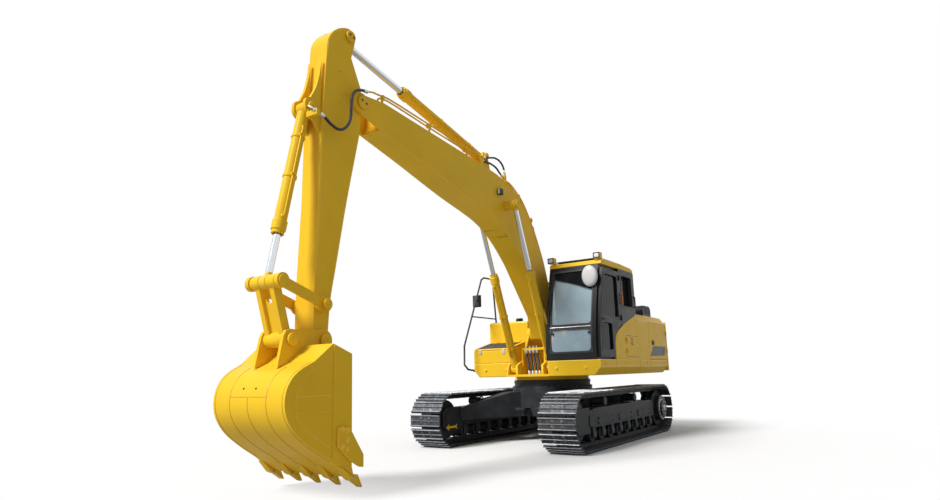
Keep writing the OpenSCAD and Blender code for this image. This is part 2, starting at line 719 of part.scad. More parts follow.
module side_windows(gap) {
  box(-600 + gap, -60 - gap, cab_y1 - 200, half_w + 10, 2280 + gap, cab_top - 90 - gap);
  box(-600 + gap, 640 - gap, cab_y0 - 10, cab_y0 + 200, 1950 + gap, cab_top - 90 - gap);
  box(cab_back - 10, cab_back + 200, cab_y0 + 90 + gap, cab_y1 - 90 - gap, 2280 + gap, cab_top - 90 - gap);
}

module cab_frame() {
  color("#232427") difference() {
    union() {
      slab(cab_line, cab_y0, cab_y1);
      slab([[door_back - 6, 1945], [door_back - 6, cab_top], [cab_back, cab_top], [cab_back, 2180], [-415, 2084],
        [-102, 1981]], cab_y1 - 1, half_w);
      for (z = [2080, 2780]) translate([hinge_x, hinge_y, z]) hinge_fixed(-60);
    }
    slab(cab_in, cab_y0 + wall_t, cab_y1 - wall_t);
    door_shape(30);
    front_window(0);
    side_windows(0);
  }
}

module cab_roof() {
  color("#e6b81c") slab([[800, cab_top + seat_gap], [770, cab_top + 70], [650, cab_top + roof_h],
    [-100, cab_top + roof_h], [cab_back + 90, cab_top + roof_h - 20], [cab_back - 10, cab_top + 50],
    [cab_back - 10, cab_top + seat_gap]],
    cab_y0 - 5, half_w - 5);
}

module cab_glass() {
  color("#7e97a8") {
    intersection() {
      front_window(seat_gap);
      difference() {
        slab([for (p = cab_line) p - [20, 0]], cab_y0, cab_y1);
        slab([for (p = cab_line) p - [20 + glass_t, 0]], cab_y0 - 1, cab_y1 + 1);
      }
    }
    intersection() {
      side_windows(seat_gap);
      union() {
        box(-900, 900, cab_y1 - 20 - glass_t, cab_y1 - 20, 1400, 2950);
        box(-900, 900, cab_y0 + 20, cab_y0 + 20 + glass_t, 1400, 2950);
        box(cab_back + 20, cab_back + 20 + glass_t, cab_y0, cab_y1, 1400, 2950);
      }
    }
  }
}

module door_windows(gap) {
  slab([[920 - gap, 2060 + gap], [905 - gap, 2200], [715 - gap, cab_top - 140 - gap],
    [door_back + 80 + gap, cab_top - 140 - gap], [door_back + 80 + gap, 2060 + gap]], cab_y1 - 10, half_w + 10);
  slab([[950 - gap, 1500 + gap], [945 - gap, 1700], [925 - gap, 1980 - gap], [460 + gap, 1980 - gap],
    [460 + gap, 1500 + gap]], cab_y1 - 10, half_w + 10);
}

module cab_door() {
  color("#232427") difference() {
    intersection() {
      door_shape(0);
      box(-100, 1200, cab_y1 + 6, half_w, 1300, 3000);
    }
    door_windows(0);
  }
  color("#232427") for (z = [2080, 2780]) translate([hinge_x, hinge_y, z]) hinge_moving(60);
}

module door_glass() {
  color("#7e97a8") intersection() {
    door_windows(seat_gap);
    box(-100, 1200, half_w - 30 - glass_t, half_w - 30, 1300, 3000);
  }
}

module seat() {
  color("#2a2b2d") {
    box(-260, 300, cab_mid - 250, cab_mid + 250, deck_z1 + 340, deck_z1 + 460);
    slab([[-330, deck_z1 + 380], [-190, deck_z1 + 465], [-290, 2500], [-400, 2500]], cab_mid - 240, cab_mid + 240);
    box(-150, 200, cab_mid - 150, cab_mid + 150, deck_z1 + 40 + seat_gap, deck_z1 + 341);
  }
}

module consoles() {
  color("#303134") {
    for (y = [cab_mid - 370, cab_mid + 280]) {
      box(-250, 340, y, y + 90, deck_z1 + 40 + seat_gap, deck_z1 + 600);
      translate([260, y + 45, deck_z1 + 599]) cylinder(r = 18, h = 170);
    }
    for (y = [cab_mid - 85, cab_mid + 85]) bar([560, y, deck_z1 + 42 + seat_gap], [500, y, deck_z1 + 560], 14);
  }
}

module handrails() {
  color("#e6b81c") {
    for (i = [0:7]) bar([rail_line[i][0], rail_y, rail_line[i][1]],
      [rail_line[i + 1][0], rail_y, rail_line[i + 1][1]], rail_r);
    for (i = [1:7]) translate([rail_line[i][0], rail_y, rail_line[i][1]]) sphere(r = rail_r + 1, $fn = 24);
    bar([rail_x(3, 2275), rail_y, 2275], [rail_x(7, 2275), rail_y, 2275], rail_r - 4);
    box(380, 420, rail_y - 10, -half_w - seat_gap, 1215, 1262);
    box(-480, -440, rail_y - 10, -half_w - seat_gap, 2100, 2150);
  }
}

// X of the rail's stretch i at a height, and the inner edge of its slanted stretch
function rail_k(i) = (rail_line[i + 1][0] - rail_line[i][0]) / (rail_line[i + 1][1] - rail_line[i][1]);
function rail_x(i, z) = rail_line[i][0] + rail_k(i) * (z - rail_line[i][1]);
function rail_edge(z) = rail_x(3, z) - rail_r * sqrt(1 + rail_k(3) * rail_k(3)) - seat_gap;

// X of the cab's front at a height over the bend of its windscreen
function cab_front(z) = let(a = cab_line[2], b = cab_line[3]) a[0] + (z - a[1]) * (b[0] - a[0]) / (b[1] - a[1]);

module mirrors() {
  color("#232427") {
    rail([for (a = [0:15:345]) oval_p + [130 * cos(a), 175 * sin(a)]], 885, 925);
    slab([[cab_front(2800) + seat_gap, 2800], [900, 2800], [900, 2830], [cab_front(2830) + seat_gap, 2830]],
      1310, 1340);
    box(150, 185, rail_y - 150, rail_y + 40, 2480, 2720);
    slab([[185, 2590], [rail_edge(2590), 2590], [rail_edge(2620), 2620], [185, 2620]], rail_y - 20, rail_y + 15);
  }
}

module lamps() {
  color("#d9dcdd") for (y = [cab_y0 - 30, half_w - 5 - lamp_w]) {
    box(705, 810, y, y + lamp_w, cab_top + roof_h - 12, cab_top + roof_h - 12 + lamp_h);
    box(590, 715, y + 45, y + 85, cab_top + roof_h + seat_gap, cab_top + roof_h + 20);
  }
}

module boom() {
  color("#e6b81c") difference() {
    union() {
      slab(boom_line, -boom_hw, boom_hw);
      pin(foot, -bracket_y0 + side_gap + 8, bracket_y0 - side_gap - 8, 150);
      pin(bc_eye, -bc_y + eye_hw + side_gap, bc_y - eye_hw - side_gap, 75);
      twin() pin(tip, tip_slot, boom_hw + 20, 130);
      twin() slab([[2120, 4400], [2420, 4400], [2340, 4760], [2220, 4760]], ac_lug_y, ac_lug_y + 40);
      box(2440, 2490, 130, boom_hw, 4450, 4650);
      box(1725, 1772, 130, boom_hw, 4330, 4490);
      for (p = [boom_route_a, boom_route_b]) {
        gland(p[0], p[1]);
        gland(p[len(p) - 1], p[len(p) - 2]);
      }
    }
    pin(tip, -tip_slot, tip_slot, tip_slot_r);
    pin(foot, -400, 400, foot_pin_r + run);
    pin(tip, -400, 400, tip_pin_r + run);
    pin(ac_foot, -ac_lug_y - 60, ac_lug_y + 60, cyl_pin_r + run);
  }
}

module boom_lamp() {
  color("#232427") {
    box(1955, 2060, 205, 260, 4085, 4185);
    box(1985, 2015, boom_hw + seat_gap, 206, 4120, 4150);
  }
}

module boom_hoses() {
  color("#1c1c1e") {
    hose(boom_route_a, hose_r, [0, 1, 0]);
    hose(boom_route_b, hose_r, [0, 1, 0]);
  }
}

module foot_hoses() {
  color("#1c1c1e") for (y = foot_hose_y)
    hose([for (i = [0:2:len(foot_route) - 1]) foot_route[i] + [0, y, 0]], foot_hose_r, [1, 0, 0]);
}

module arm_hose() {
  color("#1c1c1e") hose(arm_route, hose_r, [0, 1, 0]);
}

module intake_cowl() {
  color("#232427") difference() {
    slab([[cowl_x[0], hood_top + seat_gap], [cowl_x[1], hood_top + seat_gap], [cowl_x[1], cowl_z - 90],
      [cowl_x[1] - 60, cowl_z], [cowl_x[0] + 70, cowl_z], [cowl_x[0], cowl_z - 60]], cowl_y[0], cowl_y[1]);
    for (x = [cowl_x[0] + 60:60:cowl_x[1] - 60]) difference() {
      box(x, x + 24, cowl_y[0] - 1, cowl_y[1] + 1, hood_top + 40, cowl_z + 1);
      box(x - 1, x + 25, cowl_y[0] + 14, cowl_y[1] - 14, hood_top, cowl_z - 14);
    }
  }
}

module boom_pins() {
  color("#8b8d90") {
    pin(tip, -boom_hw - 40, boom_hw + 40, tip_pin_r);
    pin(ac_foot, -ac_lug_y - 60, ac_lug_y + 60, cyl_pin_r);
  }
}

module barrel(hw, r, rod_r, len, depth) {
  difference() {
    union() {
      pin([0, 0], -hw, hw, 78);
      translate([0, 0, 60]) cylinder(r = r, h = len - 60);
      translate([0, 0, len - 150]) cylinder(r = r + 12, h = 110);
    }
    pin([0, 0], -hw - 1, hw + 1, cyl_pin_r + run);
    translate([0, 0, 130]) cylinder(r = rod_r + run, h = len);
  }
}

module eye(len, hw, r) {
  translate([0, hw, len]) rotate([90, 0, 0]) cylinder(r = r, h = 2 * hw);
}

function gap_len(p, q) = norm(q - p);

module boom_cylinder_barrels() {
  color("#e6b81c") twin() along(bc_foot, bc_eye, bc_y)
    barrel(bc_barrel_r - 2, bc_barrel_r, bc_rod_r, bc_len, bc_depth);
}

module boom_cylinder_rods() {
  l = gap_len(bc_foot, bc_eye);
  color("#c9ccd0") twin() along(bc_foot, bc_eye, bc_y) {
    translate([0, 0, bc_depth]) cylinder(r = bc_rod_r, h = l - bc_depth - 30);
    eye(l, eye_hw, 78);
    translate([0, eye_hw + 25, l]) rotate([90, 0, 0]) cylinder(r = 55, h = 30);
  }
}

module arm_cylinder_barrel() {
  color("#e6b81c") along(ac_foot, ac_eye, 0) barrel(ac_barrel_r - 2, ac_barrel_r, ac_rod_r, ac_len, ac_depth);
}

module arm_cylinder_rod() {
  l = gap_len(ac_foot, ac_eye);
  color("#c9ccd0") along(ac_foot, ac_eye, 0) {
    translate([0, 0, ac_depth]) cylinder(r = ac_rod_r, h = l - ac_depth - 30);
    eye(l, rod_hw, 85);
  }
}

module arm() {
  color("#e6b81c") difference() {
    union() {
      slab(arm_line, -arm_hw, arm_hw);
      pin(bucket_p, -arm_hw, arm_hw, 110);
      pin(lever_p, -ear_y1, ear_y1, 85);
      twin() slab([[5870, 4480], [5855, 3980], [5960, 4120], [6080, 4200], [6080, 4310], [6000, 4345]], 75, 115);
      box(6020, 6070, 100, 276, 4112, 4178);
      slab([[5940, 4090], [6070, 4112], [6070, 4215], [5960, 4215]], 100, 130);
      gland(arm_route[0], arm_route[1]);
    }
    slab([for (q = rod_way) ac_eye + q], -rod_hw - side_gap, rod_hw + side_gap);
    pin(ac_eye, -rod_hw - side_gap, rod_hw + side_gap, 200);
    pin(tip, -300, 300, tip_pin_r + run);
    pin(bucket_p, -300, 300, bucket_pin_r + run);
    pin(lever_p, -300, 300, bucket_pin_r + run);
    pin(kc_foot, -300, 300, cyl_pin_r + run);
  }
}

module arm_pins() {
  color("#8b8d90") {
    pin(bucket_p, -ear_y1 - 35, ear_y1 + 35, bucket_pin_r);
    pin(lever_p, -lever_y1 - 25, lever_y1 + 25, bucket_pin_r);
    pin(kc_foot, -140, 140, cyl_pin_r);
    twin() pin(ac_eye, arm_hw + seat_gap, arm_hw + 25, 60);
  }
}

module bucket_cylinder_barrel() {
  color("#e6b81c") along(kc_foot, link_p, 0) barrel(60, kc_barrel_r, kc_rod_r, kc_len, kc_depth);
}

module bucket_cylinder_rod() {
  l = gap_len(kc_foot, link_p);
  color("#c9ccd0") along(kc_foot, link_p, 0) {
    translate([0, 0, kc_depth]) cylinder(r = kc_rod_r, h = l - kc_depth - 30);
    eye(l, rod_hw, 75);
  }
}

module bucket_levers() {
  color("#e6b81c") twin() difference() {
    union() {
      along(lever_p, link_p, 0) box(-55, 55, lever_y0 + 2, lever_y1 - 2, 0, gap_len(lever_p, link_p));
      pin(lever_p, lever_y0, lever_y1, 85);
      pin(link_p, lever_y0, lever_y1 + 20, 80);
    }
    pin(lever_p, 0, 400, bucket_pin_r + run);
  }
}

module bucket_link() {
  l = gap_len(link_p, crank_p);
  color("#e6b81c") difference() {
    union() {
      twin() along(link_p, crank_p, 0) box(-50, 50, link_y0 + 20, link_y1 - 3, 0, l);
      twin() pin(link_p, link_y0, link_y1 + 40, 75);
      twin() pin(crank_p, link_y0, link_y1, 80);
      along(link_p, crank_p, 0) difference() {
        box(-14, 14, -link_y0 - 25, link_y0 + 25, 180, l - 70);
        translate([0, 0, 180]) rotate([0, 90, 0]) cylinder(r = 45, h = 60, center = true);
      }
    }
    pin(crank_p, -300, 300, bucket_pin_r + run);
  }
}

module taper(inset) {
  x0 = side_x - 330;
  x1 = side_x + 870;
  y0 = lip_hw + side_k * (side_x - x0) - inset;
  y1 = lip_hw + side_k * (side_x - x1) - inset;
  linear_extrude(height = 2000) polygon([[x0, -y0], [x1, -y1], [x1, y1], [x0, y0]]);
}

// Both slanted sides of the bucket, with a gap outside them
module on_sides(gap) {
  twin() translate([cutter_x, lip_hw + side_k * (side_x - cutter_x) + gap, 0]) rotate([0, 0, -atan(side_k)])
    children();
}

module bucket() {
  color("#e6b81c") difference() {
    union() {
      on_sides(-2) slab(border_line, 0, border_t + 2);
      intersection() {
        slab(bucket_line, -800, 800);
        taper(0);
      }
      twin() slab([[bucket_p[0] - 100, 1520], [bucket_p[0] - 60, 1690], [bucket_p[0] + 60, 1700],
        [crank_p[0] - 60, 1690], [crank_p[0] + 70, 1680], [6385, 1560], [6440, 1300], [6300, 1340], [6060, 1510],
        [5830, 1425]], ear_y0, ear_y1);
      twin() pin(bucket_p, ear_y0, ear_y1, 125);
      twin() pin(crank_p, ear_y0, ear_y1, 105);
    }
    intersection() {
      slab(bucket_in, -800, 800);
      taper(shell_t);
    }
    pin(bucket_p, -300, 300, bucket_pin_r + run);
    pin(crank_p, -300, 300, bucket_pin_r + run);
    pin(bucket_p, -ear_y0, ear_y0, 125);
  }
}

module bucket_pins() {
  color("#8b8d90") pin(crank_p, -ear_y1 - 25, ear_y1 + 25, bucket_pin_r);
}

function tooth_y(i) = (i - (tooth_count - 1) / 2) * tooth_pitch;

module bucket_teeth() {
  color("#e6b81c") for (i = [0:tooth_count - 1])
    slab([lip(0.5, -1), lip(0.5, -30), lip(28, -56), lip(157, 14), lip(150, 28), lip(0.5, 30)],
      tooth_y(i) - tooth_w / 2, tooth_y(i) + tooth_w / 2);
}

module tooth_adapters() {
  color("#e6b81c") for (i = [0:tooth_count - 1])
    slab([lip(-230, seat_gap), lip(0, seat_gap), lip(0, 36), lip(-60, 44)],
      tooth_y(i) - tooth_w * 0.6, tooth_y(i) + tooth_w * 0.6);
}

module side_cutters() {
  color("#e6b81c") on_sides(border_t + seat_gap) slab(cutter_line, 0, cutter_t);
}

carbody();
swing_ring();
side_frames();
track_left();
track_right();
idlers();
sprockets();
lower_rollers();
carrier_rollers();
revolving_frame();
frame_pins();
left_deck();
right_deck();
counterweight();
engine();
engine_hood();
top_cover();
bulkhead();
left_cover();
left_service_door();
left_side_panel();
left_rear_door();
right_rear_door();
fuel_tank();
oil_tank();
toolbox();
toolbox_lid();
cab_frame();
cab_roof();
cab_glass();
cab_door();
door_glass();
seat();
consoles();
handrails();
mirrors();
lamps();
boom();
boom_pins();
boom_cylinder_barrels();
boom_cylinder_rods();
arm();
arm_pins();
arm_cylinder_barrel();
arm_cylinder_rod();
bucket_cylinder_barrel();
bucket_cylinder_rod();
bucket_levers();
bucket_link();
bucket();
bucket_pins();
bucket_teeth();
tooth_adapters();
side_cutters();
boom_lamp();
intake_cowl();
arm_hose();
boom_hoses();
foot_hoses();
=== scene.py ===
"""Finish and small parts of a crawler excavator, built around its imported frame. Metres, Z up, X forward."""

import json
import math

import bmesh
import bpy
import numpy as np
from bpy.props import FloatProperty, FloatVectorProperty, IntProperty, PointerProperty
from mathutils import Matrix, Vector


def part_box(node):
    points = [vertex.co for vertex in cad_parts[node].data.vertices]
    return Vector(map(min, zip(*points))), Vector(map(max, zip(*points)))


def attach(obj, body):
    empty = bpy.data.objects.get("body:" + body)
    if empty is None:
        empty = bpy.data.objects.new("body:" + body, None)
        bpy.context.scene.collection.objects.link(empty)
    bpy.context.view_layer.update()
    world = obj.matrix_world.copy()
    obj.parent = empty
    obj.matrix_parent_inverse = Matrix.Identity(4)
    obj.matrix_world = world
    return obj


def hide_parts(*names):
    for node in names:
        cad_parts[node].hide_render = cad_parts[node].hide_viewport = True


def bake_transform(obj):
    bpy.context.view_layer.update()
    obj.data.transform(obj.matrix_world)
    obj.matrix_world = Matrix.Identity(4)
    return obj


bl_info = {
    "name": "Crawler Excavator",
    "version": (1, 0, 0),
    "blender": (4, 5, 0),
    "location": "View3D > Sidebar > Excavator",
    "description": "Finishes the frame of a crawler excavator and adds its fittings",
    "category": "Object",
}

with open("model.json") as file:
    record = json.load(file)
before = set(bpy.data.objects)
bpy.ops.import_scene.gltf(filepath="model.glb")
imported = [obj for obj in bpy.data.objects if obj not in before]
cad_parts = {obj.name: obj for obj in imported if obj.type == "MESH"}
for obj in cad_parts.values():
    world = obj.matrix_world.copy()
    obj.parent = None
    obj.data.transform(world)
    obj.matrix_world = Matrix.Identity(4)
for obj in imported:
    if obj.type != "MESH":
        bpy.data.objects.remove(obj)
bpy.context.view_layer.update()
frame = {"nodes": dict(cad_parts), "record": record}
NODES = frame["nodes"]
BODY_OF = {node: body for body, nodes in frame["record"]["behaviour"]["bodies"].items() for node in nodes}
JOINT = {joint["name"]: np.array(joint["pos_m"]) for joint in frame["record"]["behaviour"]["joints"]}
FINISH = {}
EDGES = {"yellow": "yellow_edge", "black": "black_edge"}
UNDER, UPPER = "undercarriage", "upperstructure"
BOOM, ARM, BUCKET = "boom_body", "arm_body", "bucket_body"
AHEAD, ACROSS = (1, 0, 0), (0, 1, 0)
IN_PLANE = np.array([1, 0, 1])
SUN_FROM = (0.80, -0.30, 0.80)
SUN_SPREAD = math.radians(18)
FLOOR_FADE = (3.2, 7.0)  # the floor turns white between these distances from the middle
CAST_EYE = 0.105  # reach of the paint round a rod's eye
SCREEN_X = 0.72  # glass ahead of this is the front screen
FLAT_ANGLE = math.radians(0.4)  # faces that meet flatter than this are one
WIDE_ROUNDING = 0.012  # wider ones get a third segment
CORNER_SHARE = 0.45  # share of an edge that a rounded corner may take
FACE_ROOM = 2.4  # face width that a rounding needs, in its own widths
EDGE_ROOM = 0.6  # share of a plain edge that a rounding may take
WELD_GAP = 0.00002  # vertices of a solid closer than this are one
ROLLERS = {"lower_rollers": 8, "carrier_rollers": 2}
SIDE_FRAME_WIDTH = 0.33
CAB_FLOOR = 1.4055
HANDLE_HEIGHT = 1.685
LARGE_PIN = 0.07  # caps of a larger radius have keeper bolts


def middle(node):
    """Middle of a node's box as an array."""
    low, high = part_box(node)
    return (np.array(low) + np.array(high)) / 2


def wheel_radius():
    """Radius of the idlers and the sprockets, under the chain."""
    low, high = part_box("idlers")
    return (high[2] - low[2]) / 2


def pin(joint, depth):
    """A joint's pin at a distance to the left of the middle."""
    return JOINT[joint] * IN_PLANE + [0, depth, 0]


def colour_setting(name, description, default):
    """A colour, as linear red, green and blue."""
    return FloatVectorProperty(name=name, description=description, default=default, subtype="COLOR", min=0, max=1)


def length_setting(name, description, default):
    """A length in metres."""
    return FloatProperty(name=name, description=description, default=default, unit="LENGTH")


def angle_setting(name, description, degrees):
    """An angle, given in degrees."""
    return FloatProperty(name=name, description=description, default=math.radians(degrees), subtype="ANGLE")


class PaintSettings(bpy.types.PropertyGroup):
    """Colours of the finishes."""
    yellow: colour_setting("Yellow", "Paint of the body and the boom", (0.88, 0.55, 0.026))
    black: colour_setting("Black", "Paint of the undercarriage and the cab", (0.014, 0.016, 0.019))
    steel: colour_setting("Steel", "Bare steel of the track shoes", (0.125, 0.133, 0.145))
    # the pale tint is lightened so that the front screen also shows a painted reflection of the sky
    glass: colour_setting("Glass", "Tint of the cab's panes", (0.50, 0.66, 0.76))


class FittingSettings(bpy.types.PropertyGroup):
    """Sizes of the fittings."""
    shoe_count: IntProperty(name="Shoes", description="Shoes in one track loop", default=51, min=20, max=80)
    lug_height: length_setting("Lug height", "Height of a lug over the shoe plate", 0.026)
    shoe_thickness: length_setting("Shoe thickness", "Thickness of a shoe plate", 0.012)
    chain_height: length_setting("Chain height", "Height of the chain links under the shoes", 0.085)
    bolt_size: length_setting("Bolt size", "Width across a bolt head's flats", 0.030)


class StageSettings(bpy.types.PropertyGroup):
    """Camera and light."""
    eye: FloatVectorProperty(
        name="Camera", description="Place of the camera", default=(10.6705, 5.3725, 1.1988),
        subtype="TRANSLATION", unit="LENGTH")
    yaw: angle_setting("Yaw", "Heading of the view from +X towards +Y", 213.703)
    pitch: angle_setting("Pitch", "View above the horizon", 11.0522)
    roll: angle_setting("Roll", "Turn about the view", -1.4732)
    lens: FloatProperty(
        name="Focal length", description="Focal length on a 36 mm sensor", default=24.09, unit="CAMERA")
    sun: FloatProperty(name="Key light", description="Strength of the key light", default=3.4)
    fill: FloatProperty(name="Fill light", description="Strength of the light from all round", default=0.33)


class Socket:
    """A shader value. Its operators add Math nodes to the material that it belongs to."""

    def __init__(self, finish, link):
        self.finish = finish
        self.link = link

    def _math(self, operation, first, second):
        return self.finish.node("Math", {"operation": operation}, [first, second])

    def __add__(self, other):
        return self._math("ADD", self, other)

    def __sub__(self, other):
        return self._math("SUBTRACT", self, other)

    def __rsub__(self, other):
        return self._math("SUBTRACT", other, self)

    def __mul__(self, other):
        return self._math("MULTIPLY", self, other)

    def above(self, limit):
        return self._math("GREATER_THAN", self, limit)

    __radd__ = __add__
    __rmul__ = __mul__


class Finish:
    """A material with one Principled shader. Constants go on its sockets, and node() makes all other nodes."""

    def __init__(self, name, **constants):
        self.material = bpy.data.materials.new(name)
        self.material.use_nodes = True
        self.tree = self.material.node_tree
        self.shader = self.tree.nodes["Principled BSDF"]
        for socket, value in constants.items():
            self.set(socket.replace("_", " ").title().replace("Ior", "IOR"), value)
        self.place = self.node("TexCoord", {}, {}, "Object")

    def set(self, socket, value):
        """Sets or links an input of the shader."""
        self._feed(self.shader.inputs[socket], value)

    def _feed(self, entry, value):
        if isinstance(value, Socket):
            self.tree.links.new(value.link, entry)
            return
        if entry.type == "RGBA" and len(value) == 3:
            value = (*value, 1.0)
        entry.default_value = value

    def node(self, kind, settings, inputs, output=0):
        """A node of a type, with its settings set first, then its inputs by number or name."""
        made = self.tree.nodes.new("ShaderNode" + kind)
        for key, value in settings.items():
            if key == "stops":
                ramp = made.color_ramp.elements
                for element, (position, grey) in zip((ramp[0], ramp[1]), value):
                    element.position = position
                    element.color = (grey, grey, grey, 1)
            else:
                setattr(made, key, value)
        pairs = inputs.items() if isinstance(inputs, dict) else enumerate(inputs)
        for key, value in pairs:
            self._feed(made.inputs[key], value)
        return Socket(self, made.outputs[output])

    def noise(self, scale, detail):
        """Cloudy noise from 0 to 1, with a given number of patches in a metre."""
        return self.node("TexNoise", {}, {"Vector": self.place, "Scale": scale, "Detail": detail})

    def ramp(self, value, low, high):
        """0 below low, 1 above high, and even between."""
        return self.node("ValToRGB", {"stops": ((low, 0.0), (high, 1.0))}, [value])

    def mix(self, factor, first, second):
        """Colour from first to second as the factor goes from 0 to 1."""
        return self.node("Mix", {"data_type": "RGBA"}, {0: factor, 6: first, 7: second}, 2)

    def bump(self, height, depth, strength):
        """Feeds the shader's normal from a height, in metres of depth."""
        self.set("Normal", self.node("Bump", {}, {"Height": height, "Distance": depth, "Strength": strength}))


def shade(colour, factor):
    """A colour times a number, kept under white."""
    return tuple(min(1.0, part * factor) for part in colour)


def paint(name, colour, roughness=0.38, drift=0.05, dust=0.0, coat=0.05, gloss=0.16):
    """Sprayed paint: a slow drift of tone, dust in patches, a rougher haze and an orange-peel bump."""
    finish = Finish(name, coat_weight=coat, coat_roughness=0.12, specular_ior_level=gloss)
    cloud = finish.noise(1.1, 4)
    tone = finish.mix(finish.ramp(cloud, 0.32, 0.70), shade(colour, 1 - drift), shade(colour, 1 + drift))
    haze = finish.ramp(finish.noise(5.5, 6), 0.45, 0.75)
    finish.set("Base Color", finish.mix(haze * dust, tone, (0.30, 0.25, 0.18)))
    finish.set("Roughness", haze * 0.14 + (roughness - 0.05))
    finish.bump(finish.noise(160, 1) * 0.4 + cloud * 0.6, 0.0012, 0.35)
    return finish.material


def worn(name, colour, bare, share):
    """Paint along an edge: the paint's tone, lighter, with rubbed spots of primer or steel."""
    finish = Finish(name)
    rub = finish.ramp(finish.noise(26, 5), 0.62 - share * 0.3, 0.70)
    finish.set("Base Color", finish.mix(rub * share, shade(colour, 1.12), bare))
    finish.set("Roughness", rub * 0.2 + 0.3)
    finish.bump(finish.noise(60, 3), 0.001, 0.4)
    return finish.material


def track_steel(colour):
    """Shoe steel: dark mill scale in the valleys, bright rubbed lugs, a little earth and pitting.
    The attribute lug runs from 0 on the plate to 1 on the tip of a lug."""
    finish = Finish("track_steel", metallic=0.75)
    lug = finish.node("Attribute", {"attribute_name": "lug"}, {}, "Fac")
    grain = finish.noise(18, 6)
    rub = finish.ramp(lug * 0.75 + grain * 0.5, 0.62, 0.95)
    scale = finish.mix(finish.ramp(grain, 0.35, 0.7), shade(colour, 0.45), shade(colour, 1.0))
    earth = finish.ramp(finish.noise(3.2, 5), 0.56, 0.74) * 0.3
    finish.set("Base Color", finish.mix(earth, finish.mix(rub, scale, (0.50, 0.52, 0.55)), (0.16, 0.12, 0.08)))
    finish.set("Roughness", 0.52 - rub * 0.22 + earth * 0.6)
    finish.bump(grain, 0.003, 0.5)
    return finish.material


def bare_metal(name, colour, roughness, scratch):
    """Turned or plated metal: fine scratches round it and a faint change of shine."""
    finish = Finish(name, metallic=1.0)
    lines = finish.noise(scratch, 2)
    finish.set("Base Color", finish.mix(lines, shade(colour, 0.88), shade(colour, 1.08)))
    finish.set("Roughness", lines * 0.10 + (roughness - 0.05))
    finish.bump(lines, 0.0004, 0.25)
    return finish.material


def rod_steel(name, eye, reach, colour):
    """A plated rod whose cast eye is painted: within a reach of the eye's pin, in X and Z, the paint covers it."""
    finish = Finish(name, specular_ior_level=0.3)
    x, z = [finish.node("SeparateXYZ", {}, [finish.place], axis) for axis in "XZ"]
    away, height = x - float(eye[0]), z - float(eye[2])
    cast = (reach ** 2 - (away * away + height * height)).above(0.0)
    lines = finish.noise(70, 2)
    plated = finish.mix(lines, (0.62, 0.66, 0.71), (0.76, 0.79, 0.83))
    finish.set("Base Color", finish.mix(cast, plated, colour))
    finish.set("Metallic", 1 - cast)
    finish.set("Roughness", lines * 0.10 + 0.10 + cast * 0.22)
    finish.bump(lines, 0.0004, 0.25)
    return finish.material


def pane(name, colour, alpha):
    """Safety glass: a tint, a film of dust in clouds and a clear gloss."""
    finish = Finish(name, roughness=0.03, ior=1.5, specular_ior_level=0.08)
    film = finish.ramp(finish.noise(2.4, 5), 0.4, 0.8)
    finish.set("Base Color", finish.mix(film * 0.4, colour, shade(colour, 1.7)))
    finish.set("Alpha", film * 0.10 + alpha)
    return finish.material


def screen(name, colour, alpha):
    """The cab's glass: pale in front, a tint lightened to paint the sky's reflection, with a painted dark reflection as
    a band along the top that slants down to the left, and nearly black in the sides and the back, a dark tint that also
    paints their dark reflections."""
    finish = Finish(name, roughness=0.03, ior=1.5, specular_ior_level=0.08)
    x, y, z = [finish.node("SeparateXYZ", {}, [finish.place], axis) for axis in "XYZ"]
    film = finish.ramp(finish.noise(2.4, 5), 0.4, 0.8)
    ahead = x.above(SCREEN_X)
    # painted reflection: a dark band across the top of the front screen, slanting down to the left
    band = finish.ramp(z + y * 0.33 + finish.noise(3, 2) * 0.06 - 2.0, 0.93, 0.97)
    clear = finish.mix(film * 0.4, colour, shade(colour, 1.5))
    # near-black tint of the side and back glass, which also paints their dark reflections
    dark = finish.mix(film * 0.4, (0.010, 0.012, 0.014), (0.030, 0.034, 0.038))
    finish.set("Base Color", finish.mix(ahead * (1 - band), dark, clear))
    finish.set("Alpha", film * 0.10 + alpha + (1 - ahead) * 0.30 + band * ahead * 0.25)
    return finish.material


def rubber(name, colour, roughness, grain=120):
    """Rubber or moulded plastic: a fine grain, with paler rubbed patches."""
    finish = Finish(name)
    patch = finish.ramp(finish.noise(7, 4), 0.4, 0.75)
    finish.set("Base Color", finish.mix(patch, colour, shade(colour, 1.6)))
    finish.set("Roughness", patch * 0.12 + (roughness - 0.06))
    finish.bump(finish.noise(grain, 2), 0.0012, 0.5)
    return finish.material


